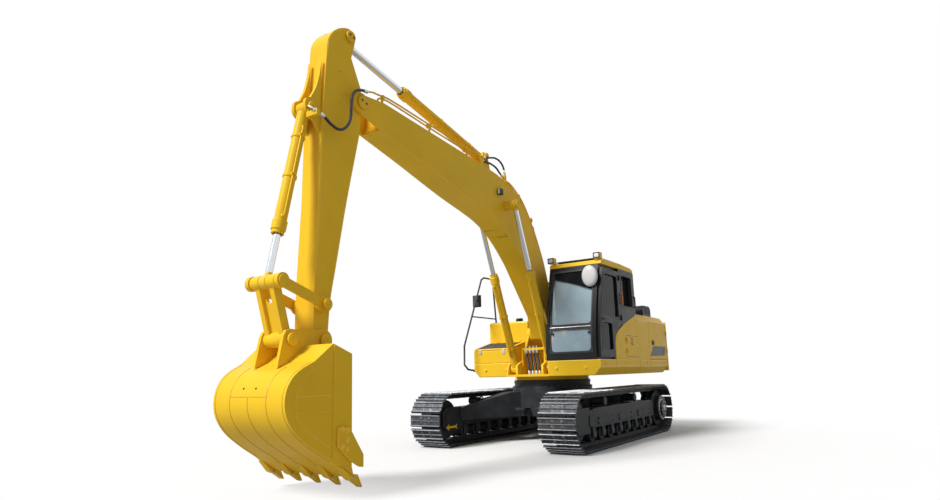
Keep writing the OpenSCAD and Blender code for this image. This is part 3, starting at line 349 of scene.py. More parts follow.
def make_finishes(colours):
    """All finishes, by name."""
    yellow, black = tuple(colours.yellow), tuple(colours.black)
    FINISH.update(
        yellow=paint("yellow_paint", yellow, dust=0.05, coat=0.03, gloss=0.07),
        yellow_edge=worn("yellow_edge", yellow, (0.42, 0.36, 0.28), 0.16),
        black=paint("black_paint", shade(black, 1.7), 0.46, drift=0.25, dust=0.10, coat=0.0),
        black_edge=worn("black_edge", shade(black, 2.4), (0.16, 0.16, 0.165), 0.5),
        cab=paint("cab_paint", shade(black, 0.9), 0.40, drift=0.15, dust=0.02, coat=0.05),
        steel=track_steel(tuple(colours.steel)),
        pin=bare_metal("pin_steel", (0.40, 0.40, 0.41), 0.34, 90),
        glass=screen("cab_glass", tuple(colours.glass), 0.55),
        # the door glass's near-black tint also paints the dark reflections on it
        dark_glass=pane("dark_glass", (0.010, 0.012, 0.014), 0.86),
        lens=pane("lamp_lens", (0.86, 0.88, 0.90), 0.90),
        rubber=rubber("hose_rubber", (0.013, 0.013, 0.014), 0.55),
        trim=rubber("moulded_trim", (0.030, 0.031, 0.034), 0.62, 260),
        fabric=rubber("seat_fabric", (0.040, 0.042, 0.048), 0.9, 700),
        zinc=bare_metal("zinc", (0.62, 0.63, 0.64), 0.38, 110),
        mirror=bare_metal("mirror_glass", (0.84, 0.87, 0.90), 0.08, 3),
        white=paint("white_shell", (0.72, 0.72, 0.72), 0.30, drift=0.04, coat=0.3),
        grey=paint("grey_shell", (0.060, 0.064, 0.072), 0.36, drift=0.12, dust=0.04),
        # painted shade: the seam finish's dark orange-brown stands for the shade in the weld grooves
        seam=worn("seam_painted_shade", (0.42, 0.20, 0.022), (0.20, 0.12, 0.04), 0.4),
        red=rubber("reflector", (0.42, 0.012, 0.010), 0.22, 300),
        orange=rubber("orange_grip", (0.75, 0.19, 0.012), 0.45, 200),
        **{rod: rod_steel(rod, JOINT[rod + "_slide"], CAST_EYE, yellow)
           for rod in ("boom_rod", "arm_rod", "bucket_rod")})


def join(*shapes):
    """Several shapes as one: vertices in a row, face numbers raised by what comes before."""
    sizes = [len(vertices) for vertices, _ in shapes]
    starts = np.cumsum([0] + sizes[:-1])
    vertices = np.concatenate([vertices for vertices, _ in shapes])
    faces = [block + start for (_, blocks), start in zip(shapes, starts) for block in blocks]
    return vertices, faces


def loft(rings, caps=True):
    """Closed rings of points, one after another, as a tube of quads: point j of ring i joins points j and j + 1
    of ring i + 1. Both ends may be capped by one face."""
    rings = np.asarray(rings, float)
    count, around = rings.shape[:2]
    i, j = np.meshgrid(np.arange(count - 1), np.arange(around), indexing="ij")
    k = (j + 1) % around
    quads = np.stack([i * around + j, i * around + k, (i + 1) * around + k, (i + 1) * around + j], -1)
    faces = [quads.reshape(-1, 4)]
    if caps:
        ring = np.arange(around)
        faces += [ring[None, ::-1], ring[None] + (count - 1) * around]
    return rings.reshape(-1, 3), faces


def lathe(profile, sides=32, caps=True):
    """A profile of radius and height turned about Z: (r cos a, r sin a, h). Both ends may be capped."""
    profile = np.asarray(profile, float)
    angle = np.arange(sides) * 2 * np.pi / sides
    flat = profile[:, None, :1] * np.stack([np.cos(angle), np.sin(angle)], -1)
    height = np.broadcast_to(profile[:, None, 1:], (*flat.shape[:2], 1))
    return loft(np.concatenate([flat, height], -1), caps)


def turned(axis):
    """Rows of a rotation that takes +Z to an axis."""
    axis = np.asarray(axis, float) / np.linalg.norm(axis)
    helper = np.eye(3)[np.argmin(np.abs(axis))]
    side = np.cross(helper, axis)
    side /= np.linalg.norm(side)
    return np.stack([side, np.cross(axis, side), axis])


def placed(shape, point, axis=(0, 0, 1)):
    """A shape with its +Z turned to an axis and its origin at a point."""
    return shape[0] @ turned(axis) + np.asarray(point, float), shape[1]


def copies(shape, points, frames=None):
    """A shape at many points at once: vertex = point + template vertex in that point's frame. One frame may
    serve all points."""
    points = np.asarray(points, float)
    template, blocks = shape
    frames = np.broadcast_to(np.eye(3) if frames is None else frames, (len(points), 3, 3))
    vertices = points[:, None] + np.einsum("vi,nij->nvj", template, frames)
    step = np.arange(len(points)) * len(template)
    faces = [(block[None] + step[:, None, None]).reshape(-1, block.shape[1]) for block in blocks]
    return vertices.reshape(-1, 3), faces


def cubic(padded, t):
    """Points at t on the line through padded[1] to padded[-2]: on each stretch the cubic whose slope at a point is
    half the step between its neighbours."""
    i = np.minimum(t.astype(int), len(padded) - 4)
    u = (t - i)[:, None]
    a, b, c, d = padded[i], padded[i + 1], padded[i + 2], padded[i + 3]
    return 0.5 * (2 * b + (c - a) * u + (2 * a - 5 * b + 4 * c - d) * u ** 2 + (3 * b - a - 3 * c + d) * u ** 3)


def spline(points, count):
    """A smooth line through points, which runs straight on at both ends, at equal steps."""
    points = np.asarray(points, float)
    padded = np.concatenate([2 * points[:1] - points[1:2], points, 2 * points[-1:] - points[-2:-1]])
    return cubic(padded, np.linspace(0, len(points) - 1 - 1e-9, count))


def tube(path, radius, sides):
    """A circle carried along a path. Its frame is built on the direction that the path follows least."""
    path = np.asarray(path, float)
    tangent = np.gradient(path, axis=0)
    tangent /= np.linalg.norm(tangent, axis=1)[:, None]
    least = np.linalg.eigh(tangent.T @ tangent)[1][:, 0]
    across = np.cross(tangent, least)
    across /= np.linalg.norm(across, axis=1)[:, None]
    above = np.cross(across, tangent)
    angle = np.arange(sides) * 2 * np.pi / sides
    radius = np.broadcast_to(np.asarray(radius, float), len(path))[:, None, None]
    ring = np.cos(angle)[None, :, None] * across[:, None] + np.sin(angle)[None, :, None] * above[:, None]
    return loft(path[:, None] + radius * ring)


def prism(outline, low, high, axis=1):
    """A closed outline in the plane of the other two axes, carried along an axis from low to high."""
    outline = np.asarray(outline, float)
    rings = np.insert(outline[None].repeat(2, 0), axis, np.array([[low], [high]]), axis=2)
    return loft(rings)


def block(low, high):
    """A box from its low corner to its high corner."""
    low, high = np.minimum(low, high), np.maximum(low, high)
    return prism(box_of(low, high), low[2], high[2], 2)


def hex_bolt(size):
    """A washer under a six-sided head, turned about Z."""
    washer = lathe([(size * 0.85, -0.002), (size * 0.85, size * 0.10), (size * 0.70, size * 0.14)], 12)
    head = lathe([(size * 0.577, size * 0.10), (size * 0.577, size * 0.50), (size * 0.46, size * 0.60)], 6)
    return join(washer, head)


def bolts(points, axis, size):
    """Bolt heads on many points, all along one axis."""
    return copies(hex_bolt(size), points, turned(axis))


def rounded(points, radius, steps=5, closed=True):
    """A line with its corners rounded: each corner P becomes the curve (1-t)^2 A + 2t(1-t) P + t^2 B between
    the points A and B that lie a radius away on its two edges."""
    points = np.asarray(points, float)
    before, after = np.roll(points, 1, 0) - points, np.roll(points, -1, 0) - points
    reach = [np.minimum(radius / np.linalg.norm(edge, axis=1), CORNER_SHARE)[:, None] for edge in (before, after)]
    start, stop = points + before * reach[0], points + after * reach[1]
    t = np.linspace(0, 1, steps)[None, :, None]
    curve = (1 - t) ** 2 * start[:, None] + 2 * t * (1 - t) * points[:, None] + t ** 2 * stop[:, None]
    if closed:
        return curve.reshape(-1, points.shape[1])
    return np.concatenate([points[:1], curve[1:-1].reshape(-1, points.shape[1]), points[-1:]])


def collar(profile, sides=32):
    """A closed profile of radius and height turned about Z, open in the middle."""
    return lathe([*profile, profile[0]], sides, caps=False)


def plate(outline, low, high, axis, radius):
    """A flat plate with rounded corners, carried along an axis from low to high."""
    return prism(rounded(outline, radius), low, high, axis)


def slab(low, high, start, stop, axis, radius):
    """An oblong plate with rounded corners, carried along an axis from start to stop."""
    return plate(box_of(low, high), start, stop, axis, radius)


def bent(points, bend, radius, sides=10, steps=6):
    """A round bar or pipe along a line whose corners are rounded."""
    return tube(rounded(points, bend, steps, False), radius, sides)


def box_of(low, high):
    """The four corners of an upright oblong, from its low corner to its high corner."""
    return [(low[0], low[1]), (high[0], low[1]), (high[0], high[1]), (low[0], high[1])]


def mirrored(shape):
    """A shape with its mirror image on the other side of Y = 0."""
    return join(shape, (shape[0] * [1, -1, 1], [block[:, ::-1] for block in shape[1]]))


def circle_of(count, radius):
    """Points round a circle in the plane of Z = 0."""
    angle = np.arange(count) * 2 * np.pi / count
    return np.stack([radius * np.cos(angle), radius * np.sin(angle), np.zeros(count)], -1)


def bowed(points, steps=4):
    """The line of short straight steps that the frame's bent plates have: the cubic through the points, with
    both ends counted twice, at equal steps on each stretch."""
    points = np.asarray(points, float)
    padded = np.concatenate([points[:1], points, points[-1:]])
    return cubic(padded, np.arange(steps * (len(points) - 1) + 1) / steps)


def at_depth(line, depth):
    """A line in X and Z as points at one Y, or at a Y for each point."""
    return np.insert(np.asarray(line, float), 1, depth, axis=1)


def at_face(line, x):
    """A line in Y and Z as points at one X, or at an X for each point."""
    return np.insert(np.asarray(line, float), 0, x, axis=1)


def on_wall(axis, at, outward=1):
    """A lift for gasket: it carries (u, v, height) onto a flat wall that lies across an axis, height outwards."""
    return lambda u, v, height: np.insert(np.stack([u, v], -1), axis, at + outward * height, axis=1)


def inset(outline, distance):
    """A convex outline moved inwards: each corner slides along (m + n) / (1 + m.n) of its two edges' normals."""
    outline = np.asarray(outline, float)
    edge = np.roll(outline, -1, 0) - outline
    turn = np.sign(np.sum(outline[:, 0] * np.roll(outline[:, 1], -1) - outline[:, 1] * np.roll(outline[:, 0], -1)))
    after = turn * np.stack([-edge[:, 1], edge[:, 0]], -1) / np.linalg.norm(edge, axis=1)[:, None]
    before = np.roll(after, 1, 0)
    return outline + distance * (before + after) / (1 + np.sum(before * after, axis=1))[:, None]


def domed(outline, face, steps, radius=0.0):
    """A domed pane on a face across X: rings of the outline, moved inwards and forwards by each pair of steps."""
    lines = [(inset(outline, step), face + rise) for step, rise in steps]
    return loft([at_face(rounded(line, radius) if radius else line, x) for line, x in lines])


def gasket(outline, width, radius, lift, depth=0.018, proud=0.004):
    """A rim round a window. Its outer line is the opening's, its inner line lies a width inside with rounded
    corners, and lift carries (u, v, height) onto the wall."""
    outer = rounded(inset(outline, -0.006), 0.008)
    inner = rounded(inset(outline, width), radius)
    rings = [(outer, -0.002), (outer, proud), (inner, proud), (inner, -depth), (outer, -depth)]
    lines = [lift(line[:, 0], line[:, 1], height) for line, height in rings]
    return loft([*lines, lines[0]], caps=False)


def cushion(low, high, edge=0.32, around=56, rows=28):
    """A stuffed block: x = a c(u) c(v), y = b s(u) c(v), z = h s(v), where c and s are the cosine and sine with
    their size raised to a small power, so that the sides are full and the edges round."""
    low, high = np.asarray(low, float), np.asarray(high, float)
    u = np.arange(around) * 2 * np.pi / around
    pole = 0.497 * np.pi
    v = np.linspace(-pole, pole, rows)

    def power(value):
        return np.sign(value) * np.abs(value) ** edge

    ring = np.stack([power(np.cos(u)), power(np.sin(u)), np.ones(around)], -1)
    scale = np.stack([power(np.cos(v)), power(np.cos(v)), power(np.sin(v))], -1)
    return loft((low + high) / 2 + (high - low) / 2 * ring[None] * scale[:, None])


def cylinder_frame(foot, eye, side):
    """Place and axis of a hydraulic cylinder from the joints at its two pins, at one Y."""
    axis = (JOINT[eye] - JOINT[foot]) * IN_PLANE
    return pin(foot, side), axis / np.linalg.norm(axis)


def piece(name, mesh, finish, smooth):
    """An object from a mesh, smooth up to an angle, with its finish."""
    mesh.shade_smooth()
    mesh.set_sharp_from_angle(angle=math.radians(smooth))
    mesh.materials.append(FINISH[finish])
    made = bpy.data.objects.new(name, mesh)
    bpy.context.scene.collection.objects.link(made)
    return made


def rounded_edges(made, width, segments, limit):
    """A rounding of a piece's edges by a width, for those that the limit names."""
    rounding = made.modifiers.new("Rounding", "BEVEL")
    rounding.width = width
    rounding.segments = segments
    rounding.limit_method = limit
    return rounding


def put(name, shape, body, finish, bevel=0.0, segments=2, smooth=35.0, attributes=None):
    """A mesh at the origin from a shape, with outward faces, riding on a body if one is given. Its slot is the
    finish's own."""
    vertices, blocks = shape
    mesh = bpy.data.meshes.new(name)
    mesh.from_pydata(vertices.tolist(), [], [face for block in blocks for face in block.tolist()])
    for attribute, values in (attributes or {}).items():
        mesh.attributes.new(attribute, "FLOAT", "POINT").data.foreach_set("value", np.asarray(values, np.float32))
    work = bmesh.new()
    work.from_mesh(mesh)
    bmesh.ops.recalc_face_normals(work, faces=work.faces)
    work.to_mesh(mesh)
    work.free()
    made = piece(name, mesh, finish, smooth)
    if bevel:
        rounding = rounded_edges(made, bevel, segments, "ANGLE")
        rounding.angle_limit = math.radians(smooth)
        rounding.harden_normals = True
    if body:
        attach(made, body)
    return made


def values_of(items, key, width=1, kind=float):
    """One property of all of a mesh's vertices, edges, faces or loops, as an array."""
    values = np.zeros(len(items) * width, kind)
    items.foreach_get(key, values)
    return values.reshape(-1, width) if width > 1 else values


def edge_weights(mesh, width, angle):
    """Rounding weight of each edge: 1 where two faces meet outwards and sharper than an angle, and less beside a
    face that is narrower than the rounding needs. A face's width is twice its area over its perimeter, and an
    edge is an outward one where the middle of one face lies behind the plane of the other. A short plain edge at
    either end holds the rounding below its own length."""
    faces, edges = len(mesh.polygons), len(mesh.edges)
    edge_of = values_of(mesh.loops, "edge_index", kind=int)
    total = values_of(mesh.polygons, "loop_total", kind=int)
    area = values_of(mesh.polygons, "area")
    normal, centre = values_of(mesh.polygons, "normal", 3), values_of(mesh.polygons, "center", 3)
    ends, spot = values_of(mesh.edges, "vertices", 2, int), values_of(mesh.vertices, "co", 3)
    length = np.linalg.norm(spot[ends[:, 0]] - spot[ends[:, 1]], axis=1)
    face_of = np.repeat(np.arange(faces), total)
    perimeter = np.bincount(face_of, length[edge_of], faces)
    across = 2 * area / np.maximum(perimeter, 1e-9)
    order = np.argsort(edge_of, kind="stable")
    count = np.bincount(edge_of, minlength=edges)
    first = np.cumsum(count) - count
    pair = count == 2
    one, two = face_of[order[first[pair]]], face_of[order[first[pair] + 1]]
    behind = np.einsum("ij,ij->i", centre[one] - spot[ends[pair, 0]], normal[two]) < 0
    cosine = np.einsum("ij,ij->i", normal[one], normal[two])
    weight = np.zeros(edges)
    room = np.clip(np.minimum(across[one], across[two]) / (FACE_ROOM * width), 0, 1)
    weight[pair] = np.where((cosine < math.cos(angle)) & behind, room, 0)
    plain = weight == 0
    shortest = np.full(len(spot), np.inf)
    np.minimum.at(shortest, ends[plain].ravel(), np.repeat(length[plain], 2))
    return np.minimum(weight, EDGE_ROOM * np.min(shortest[ends], axis=1) / width)


def skin(node, finish, bevel, smooth=32.0):
    """The finished form of a CAD node: its solid with the seams merged, its sharp edges rounded and, where the
    finish has one for edges, that one on the rounding."""
    mesh = bpy.data.meshes.new(node + "_form")
    work = bmesh.new()
    work.from_mesh(NODES[node].data)
    bmesh.ops.remove_doubles(work, verts=work.verts, dist=WELD_GAP)
    bmesh.ops.dissolve_limit(work, angle_limit=FLAT_ANGLE, verts=work.verts, edges=work.edges)
    work.to_mesh(mesh)
    work.free()
    made = piece(node + "_form", mesh, finish, smooth)
    if bevel:
        weight = edge_weights(mesh, bevel, math.radians(smooth))
        mesh.attributes.new("bevel_weight_edge", "FLOAT", "EDGE").data.foreach_set("value", weight)
        rounding = rounded_edges(made, bevel, 3 if bevel > WIDE_ROUNDING else 2, "WEIGHT")
        rounding.use_clamp_overlap = False
        made.modifiers.new("Levelled", "WEIGHTED_NORMAL").keep_sharp = True
        if finish in EDGES:
            mesh.materials.append(FINISH[EDGES[finish]])
            rounding.material = 1
    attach(made, BODY_OF[node])
    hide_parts(node)


class EXCAVATOR_OT_stage(bpy.types.Operator):
    """Sets the camera, the lights, the white surroundings and the pale floor"""
    bl_idname = "excavator.stage"
    bl_label = "Stage"

    def execute(self, context):
        stage = context.scene.excavator_stage
        heading = np.array([math.cos(stage.yaw), math.sin(stage.yaw), 0.0])
        forward = heading * math.cos(stage.pitch) + np.array([0, 0, math.sin(stage.pitch)])
        right = np.array([heading[1], -heading[0], 0.0])
        up = np.cross(right, forward)
        side = math.cos(stage.roll) * right + math.sin(stage.roll) * up
        top = math.cos(stage.roll) * up - math.sin(stage.roll) * right
        lens = bpy.data.cameras.new("camera")
        lens.sensor_width = 36
        lens.lens = stage.lens
        camera = bpy.data.objects.new("camera", lens)
        columns = np.eye(4)
        columns[:3, :3] = np.stack([side, top, -forward], 1)
        columns[:3, 3] = stage.eye
        camera.matrix_world = Matrix(columns.tolist())
        context.scene.collection.objects.link(camera)
        context.scene.camera = camera
        context.scene.view_settings.view_transform = "Standard"
        self.lights(context, stage)
        self.floor(context)
        return {"FINISHED"}

    def lights(self, context, stage):
        """A broad sun from the front right and above, and a world that shows white and gives an even fill."""
        key = bpy.data.lights.new("key", "SUN")
        key.energy = stage.sun
        key.angle = SUN_SPREAD
        lamp = bpy.data.objects.new("key", key)
        context.scene.collection.objects.link(lamp)
        lamp.matrix_world = Matrix(turned(SUN_FROM).T.tolist()).to_4x4()
        world = bpy.data.worlds.new("surroundings")
        context.scene.world = world
        world.use_nodes = True
        tree = world.node_tree
        ray = tree.nodes.new("ShaderNodeLightPath").outputs
        seen = ray["Is Camera Ray"]
        for kind in ("Is Glossy Ray", "Is Transmission Ray"):
            either = tree.nodes.new("ShaderNodeMath")
            either.operation = "MAXIMUM"
            tree.links.new(seen, either.inputs[0])
            tree.links.new(ray[kind], either.inputs[1])
            seen = either.outputs[0]
        strength = tree.nodes.new("ShaderNodeMapRange")
        strength.inputs["To Min"].default_value = stage.fill
        strength.inputs["To Max"].default_value = 1.0
        tree.links.new(seen, strength.inputs["Value"])
        backdrop = tree.nodes["Background"]
        backdrop.inputs["Color"].default_value = (1, 1, 1, 1)
        tree.links.new(strength.outputs["Result"], backdrop.inputs["Strength"])

    def floor(self, context):
        """A wide pale disc that turns into plain white away from the machine."""
        sides, radius = 96, 60.0
        mesh = bpy.data.meshes.new("floor")
        mesh.from_pydata(circle_of(sides, radius).tolist(), [], [list(range(sides))])
        disc = bpy.data.objects.new("floor", mesh)
        context.scene.collection.objects.link(disc)
        finish = Finish("pale_floor", roughness=0.9)
        away = finish.node("VectorMath", {"operation": "LENGTH"}, [finish.place], 1)
        fade = finish.node("MapRange", {}, {"Value": away, "From Min": FLOOR_FADE[0], "From Max": FLOOR_FADE[1]})
        seen = finish.node("LightPath", {}, {}, "Is Camera Ray")
        finish.set("Base Color", finish.mix(seen, (0.42, 0.42, 0.42), (0.92, 0.92, 0.92)))
        white = finish.tree.nodes.new("ShaderNodeEmission")
        mixed = finish.tree.nodes.new("ShaderNodeMixShader")
        finish.tree.links.new((fade * seen).link, mixed.inputs[0])
        finish.tree.links.new(finish.shader.outputs[0], mixed.inputs[1])
        finish.tree.links.new(white.outputs[0], mixed.inputs[2])
        finish.tree.links.new(mixed.outputs[0], finish.tree.nodes["Material Output"].inputs["Surface"])
        mesh.materials.append(finish.material)


HOSE_ROW = (-0.14, -0.07, 0.0, 0.07)
FOOT_ROUTE = np.array([
    (0.66, 0.0, 1.57), (0.66, 0.0, 1.54), (0.66, 0.0, 1.51), (0.662, 0.002, 1.48), (0.666, 0.007, 1.45),
    (0.673, 0.015, 1.42), (0.681, 0.025, 1.39), (0.69, 0.035, 1.36), (0.699, 0.045, 1.33), (0.707, 0.055, 1.3),
    (0.714, 0.063, 1.27), (0.718, 0.068, 1.24), (0.72, 0.07, 1.21), (0.72, 0.07, 1.18), (0.72, 0.07, 1.15)])
HOSES = {  # radius and routes
    "arm_hose": (0.018, [at_depth([
        (6.0, 4.135), (5.93, 4.115), (5.87, 4.08), (5.805, 4.055), (5.735, 4.04), (5.665, 4.055), (5.605, 4.095),
        (5.56, 4.15), (5.53, 4.215), (5.515, 4.285), (5.515, 4.355), (5.51, 4.43), (5.505, 4.5), (5.485, 4.565),
        (5.44, 4.625), (5.38, 4.66), (5.31, 4.68), (5.24, 4.69)], 0.26)]),
    "boom_hoses": (0.016, [at_depth([
        (2.425, 4.63), (2.37, 4.64), (2.315, 4.65), (2.265, 4.665), (2.21, 4.68), (2.155, 4.695), (2.105, 4.71),
        (2.05, 4.715), (1.99, 4.715), (1.94, 4.71), (1.885, 4.69), (1.84, 4.665), (1.8, 4.625), (1.775, 4.575),
        (1.765, 4.52)], 0.18), at_depth([
        (2.425, 4.595), (2.38, 4.595), (2.33, 4.6), (2.285, 4.6), (2.235, 4.6), (2.19, 4.6), (2.14, 4.6),
        (2.095, 4.595), (2.045, 4.59), (2.0, 4.58), (1.955, 4.565), (1.915, 4.54), (1.875, 4.515), (1.83, 4.495),
        (1.79, 4.47)], 0.145)]),
    "foot_hoses": (0.021, [FOOT_ROUTE + [0, y, 0] for y in HOSE_ROW]),
}


class EXCAVATOR_OT_hoses(bpy.types.Operator):
    """Lays the hoses of the arm, the boom and the boom's foot, with crimped ends"""
    bl_idname = "excavator.hoses"
    bl_label = "Hoses"

    def execute(self, context):
        for node, (radius, routes) in HOSES.items():
            for number, route in enumerate(routes, 1):
                self.lay(node, number, radius, spline(route, 4 * len(route) - 3))
        return {"FINISHED"}

    def lay(self, node, number, radius, path):
        """A round hose along its path, and a crimped sleeve with a nut on each end. The arm's hose itself rides on no
        body;
        its near fitting rides on the hose's body and its far fitting stays on the boom."""
        crossing = node == "arm_hose"
        body = BODY_OF[node]
        hose = put(f"{node}_{number}", tube(path, radius, 14), None if crossing else body, "rubber")
        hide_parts(node)
        sleeve = lathe([(radius + 0.001, 0.058), (radius + 0.004, 0.052), (radius + 0.004, 0.004),
                        (radius + 0.001, 0.0)], 16)
        nut = lathe([(radius + 0.009, 0.022), (radius + 0.009, -0.002), (radius + 0.005, -0.006)], 6)
        end = join(sleeve, nut)
        ends = [placed(end, path[0], path[1] - path[0]), placed(end, path[-1], path[-2] - path[-1])]
        bodies = (body, "boom_body") if crossing else (body, body)
        fittings = [put(f"{node}_{number}_{word}_fitting", shape, owner, "zinc", smooth=28)
                    for shape, owner, word in zip(ends, bodies, ("near", "far"))]
        if crossing:
            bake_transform(hose)
        2 * radius


SKINS = {  # width of the rounding on each node, by finish
    "yellow": {
        "revolving_frame": 0.0, "left_deck": 0.014, "right_deck": 0.014, "counterweight": 0.0,
        "engine_hood": 0.008, "top_cover": 0.004, "bulkhead": 0.006, "left_cover": 0.010,
        "left_service_door": 0.003, "left_side_panel": 0.008, "left_rear_door": 0.010,
        "right_rear_door": 0.004, "fuel_tank": 0.035, "oil_tank": 0.035, "toolbox": 0.008,
        "toolbox_lid": 0.008, "cab_roof": 0.014, "boom": 0.003, "boom_pins": 0.006,
        "boom_cylinder_barrels": 0.006, "arm": 0.003, "arm_pins": 0.006, "arm_cylinder_barrel": 0.006,
        "bucket_cylinder_barrel": 0.006, "lamps": 0.012, "bucket_levers": 0.0, "bucket_link": 0.0015,
        "bucket": 0.0015, "bucket_pins": 0.006, "bucket_teeth": 0.008, "frame_pins": 0.006, "tooth_adapters": 0.008,
        "side_cutters": 0.006},
    "black": {
        "carbody": 0.002, "side_frames": 0.005, "swing_ring": 0.006, "idlers": 0.010, "sprockets": 0.008,
        "lower_rollers": 0.008, "carrier_rollers": 0.008, "engine": 0.020},
    "cab": {"cab_frame": 0.004, "cab_door": 0.003, "mirrors": 0.010, "boom_lamp": 0.006, "intake_cowl": 0.002},
    "trim": {"handrails": 0.0, "consoles": 0.012},
    "boom_rod": {"boom_cylinder_rods": 0.004},
    "arm_rod": {"arm_cylinder_rod": 0.004},
    "bucket_rod": {"bucket_cylinder_rod": 0.004},
    "glass": {"cab_glass": 0.0},
    "dark_glass": {"door_glass": 0.0},
}


class EXCAVATOR_OT_forms(bpy.types.Operator):
    """Rounds the edges of the frame's own pieces and gives each its finish"""
    bl_idname = "excavator.forms"
    bl_label = "Frame pieces"

    def execute(self, context):
        for finish, nodes in SKINS.items():
            for node, bevel in nodes.items():
                skin(node, finish, bevel)
        return {"FINISHED"}


class EXCAVATOR_OT_tracks(bpy.types.Operator):
    """Makes the shoes, links and shoe bolts of both tracks"""
    bl_idname = "excavator.tracks"
    bl_label = "Tracks"

    def execute(self, context):
        for side in ("left", "right"):
            self.loop(side, context.scene.excavator_fittings)
        return {"FINISHED"}

    def stations(self, count, front, back, radius):
        """Middles and frames of the shoes: along the top run, round the idler, back along the bottom and round
        the sprocket, at equal steps of path length. A frame's rows are along, across and outwards."""
        span = front - back
        bend = math.pi * radius
        s = (np.arange(count) + 0.5) * (2 * span + 2 * bend) / count
        part = [s < span, s < span + bend, s < 2 * span + bend]
        angle = np.select(part, [np.full(count, np.pi / 2), np.pi / 2 - (s - span) / radius,
                                 np.full(count, -np.pi / 2)], -np.pi / 2 - (s - 2 * span - bend) / radius)
        start = np.select(part, [back + s, np.full(count, front), front - (s - span - bend)], back)
        zero = np.zeros(count)
        out = np.stack([np.cos(angle), zero, np.sin(angle)], -1)
        along = np.stack([np.sin(angle), zero, -np.cos(angle)], -1)
        across = np.broadcast_to([0.0, 1.0, 0.0], (count, 3))
        return np.stack([start, zero, zero], -1) + radius * out, np.stack([along, across, out], 1)

    def loop(self, side, fitting):
        """Shoes are one outline of plate and three lugs carried across the track; links are waisted plates."""
        track = "track_" + side
        low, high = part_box(track)
        axle = middle("idlers")[2]
        front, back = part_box("idlers")[1][0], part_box("sprockets")[0][0]
        wheel = wheel_radius()
        radius = wheel + fitting.chain_height / 2
        points, frames = self.stations(fitting.shoe_count, front - wheel, back + wheel, radius)
        points = points + np.array([0, (low[1] + high[1]) / 2, axle])
        pitch = (2 * (front - back - 2 * wheel) + 2 * math.pi * radius) / fitting.shoe_count
        half = (high[1] - low[1]) / 2
        base = fitting.chain_height / 2
        face = base + fitting.shoe_thickness
        tip = face + fitting.lug_height
        # place and half widths at foot and crest, as shares of the pitch
        lugs = [(-0.43, 0.050, 0.030), (0.0, 0.036, 0.020), (0.40, 0.055, 0.034)]
        top = [point for at, foot, crest in lugs for point in (
            (at - foot, face), (at - crest, tip - 0.004), (at - crest * 0.55, tip), (at + crest * 0.55, tip),
            (at + crest, tip - 0.004), (at + foot, face))]
        outline = np.array([(-0.485, base), *top, (0.475, face - 0.004), (0.53, base - 0.006), (0.47, base)])
        outline = outline * [pitch, 1.0]
        shoe = prism(outline, -half, half, 1)
        lug = np.clip((shoe[0][:, 2] - face) / fitting.lug_height, 0, 1)
        shoes = put("shoes_" + side, copies(shoe, points, frames), BODY_OF[track], "steel",
                    0.003, 1, attributes={"lug": np.tile(lug, len(points))})
        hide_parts(track)
        angle = np.linspace(0, 2 * np.pi, 20, endpoint=False)
        waist = 1 - 0.22 * np.cos(2 * angle) ** 4 * (np.abs(np.sin(angle)) > 0.5)
        oval = np.stack([np.cos(angle) * pitch * 0.60, np.sin(angle) * base * 0.96 * waist], -1)
        rows = (-0.079, -0.045, 0.045, 0.079)
        plates = [prism(oval, y - 0.016, y + 0.016, 1) for y in rows]
        bush = placed(lathe([(0.026, -0.098), (0.030, -0.094), (0.030, 0.094), (0.026, 0.098)], 14),
                      (-pitch / 2, 0, 0), ACROSS)
        links = join(*plates, bush)
        put("links_" + side, copies(links, points, frames), BODY_OF[track], "black",
            attributes={"lug": np.zeros(len(points) * len(links[0]))})
        spots = [(t * pitch, y, face) for t in (-0.21, 0.20) for y in (rows[0], rows[-1])]
        heads = join(*[placed(hex_bolt(fitting.bolt_size), spot) for spot in spots])
        put("shoe_bolts_" + side, copies(heads, points, frames), BODY_OF[track], "steel",
            attributes={"lug": np.full(len(points) * len(heads[0]), 0.6)})


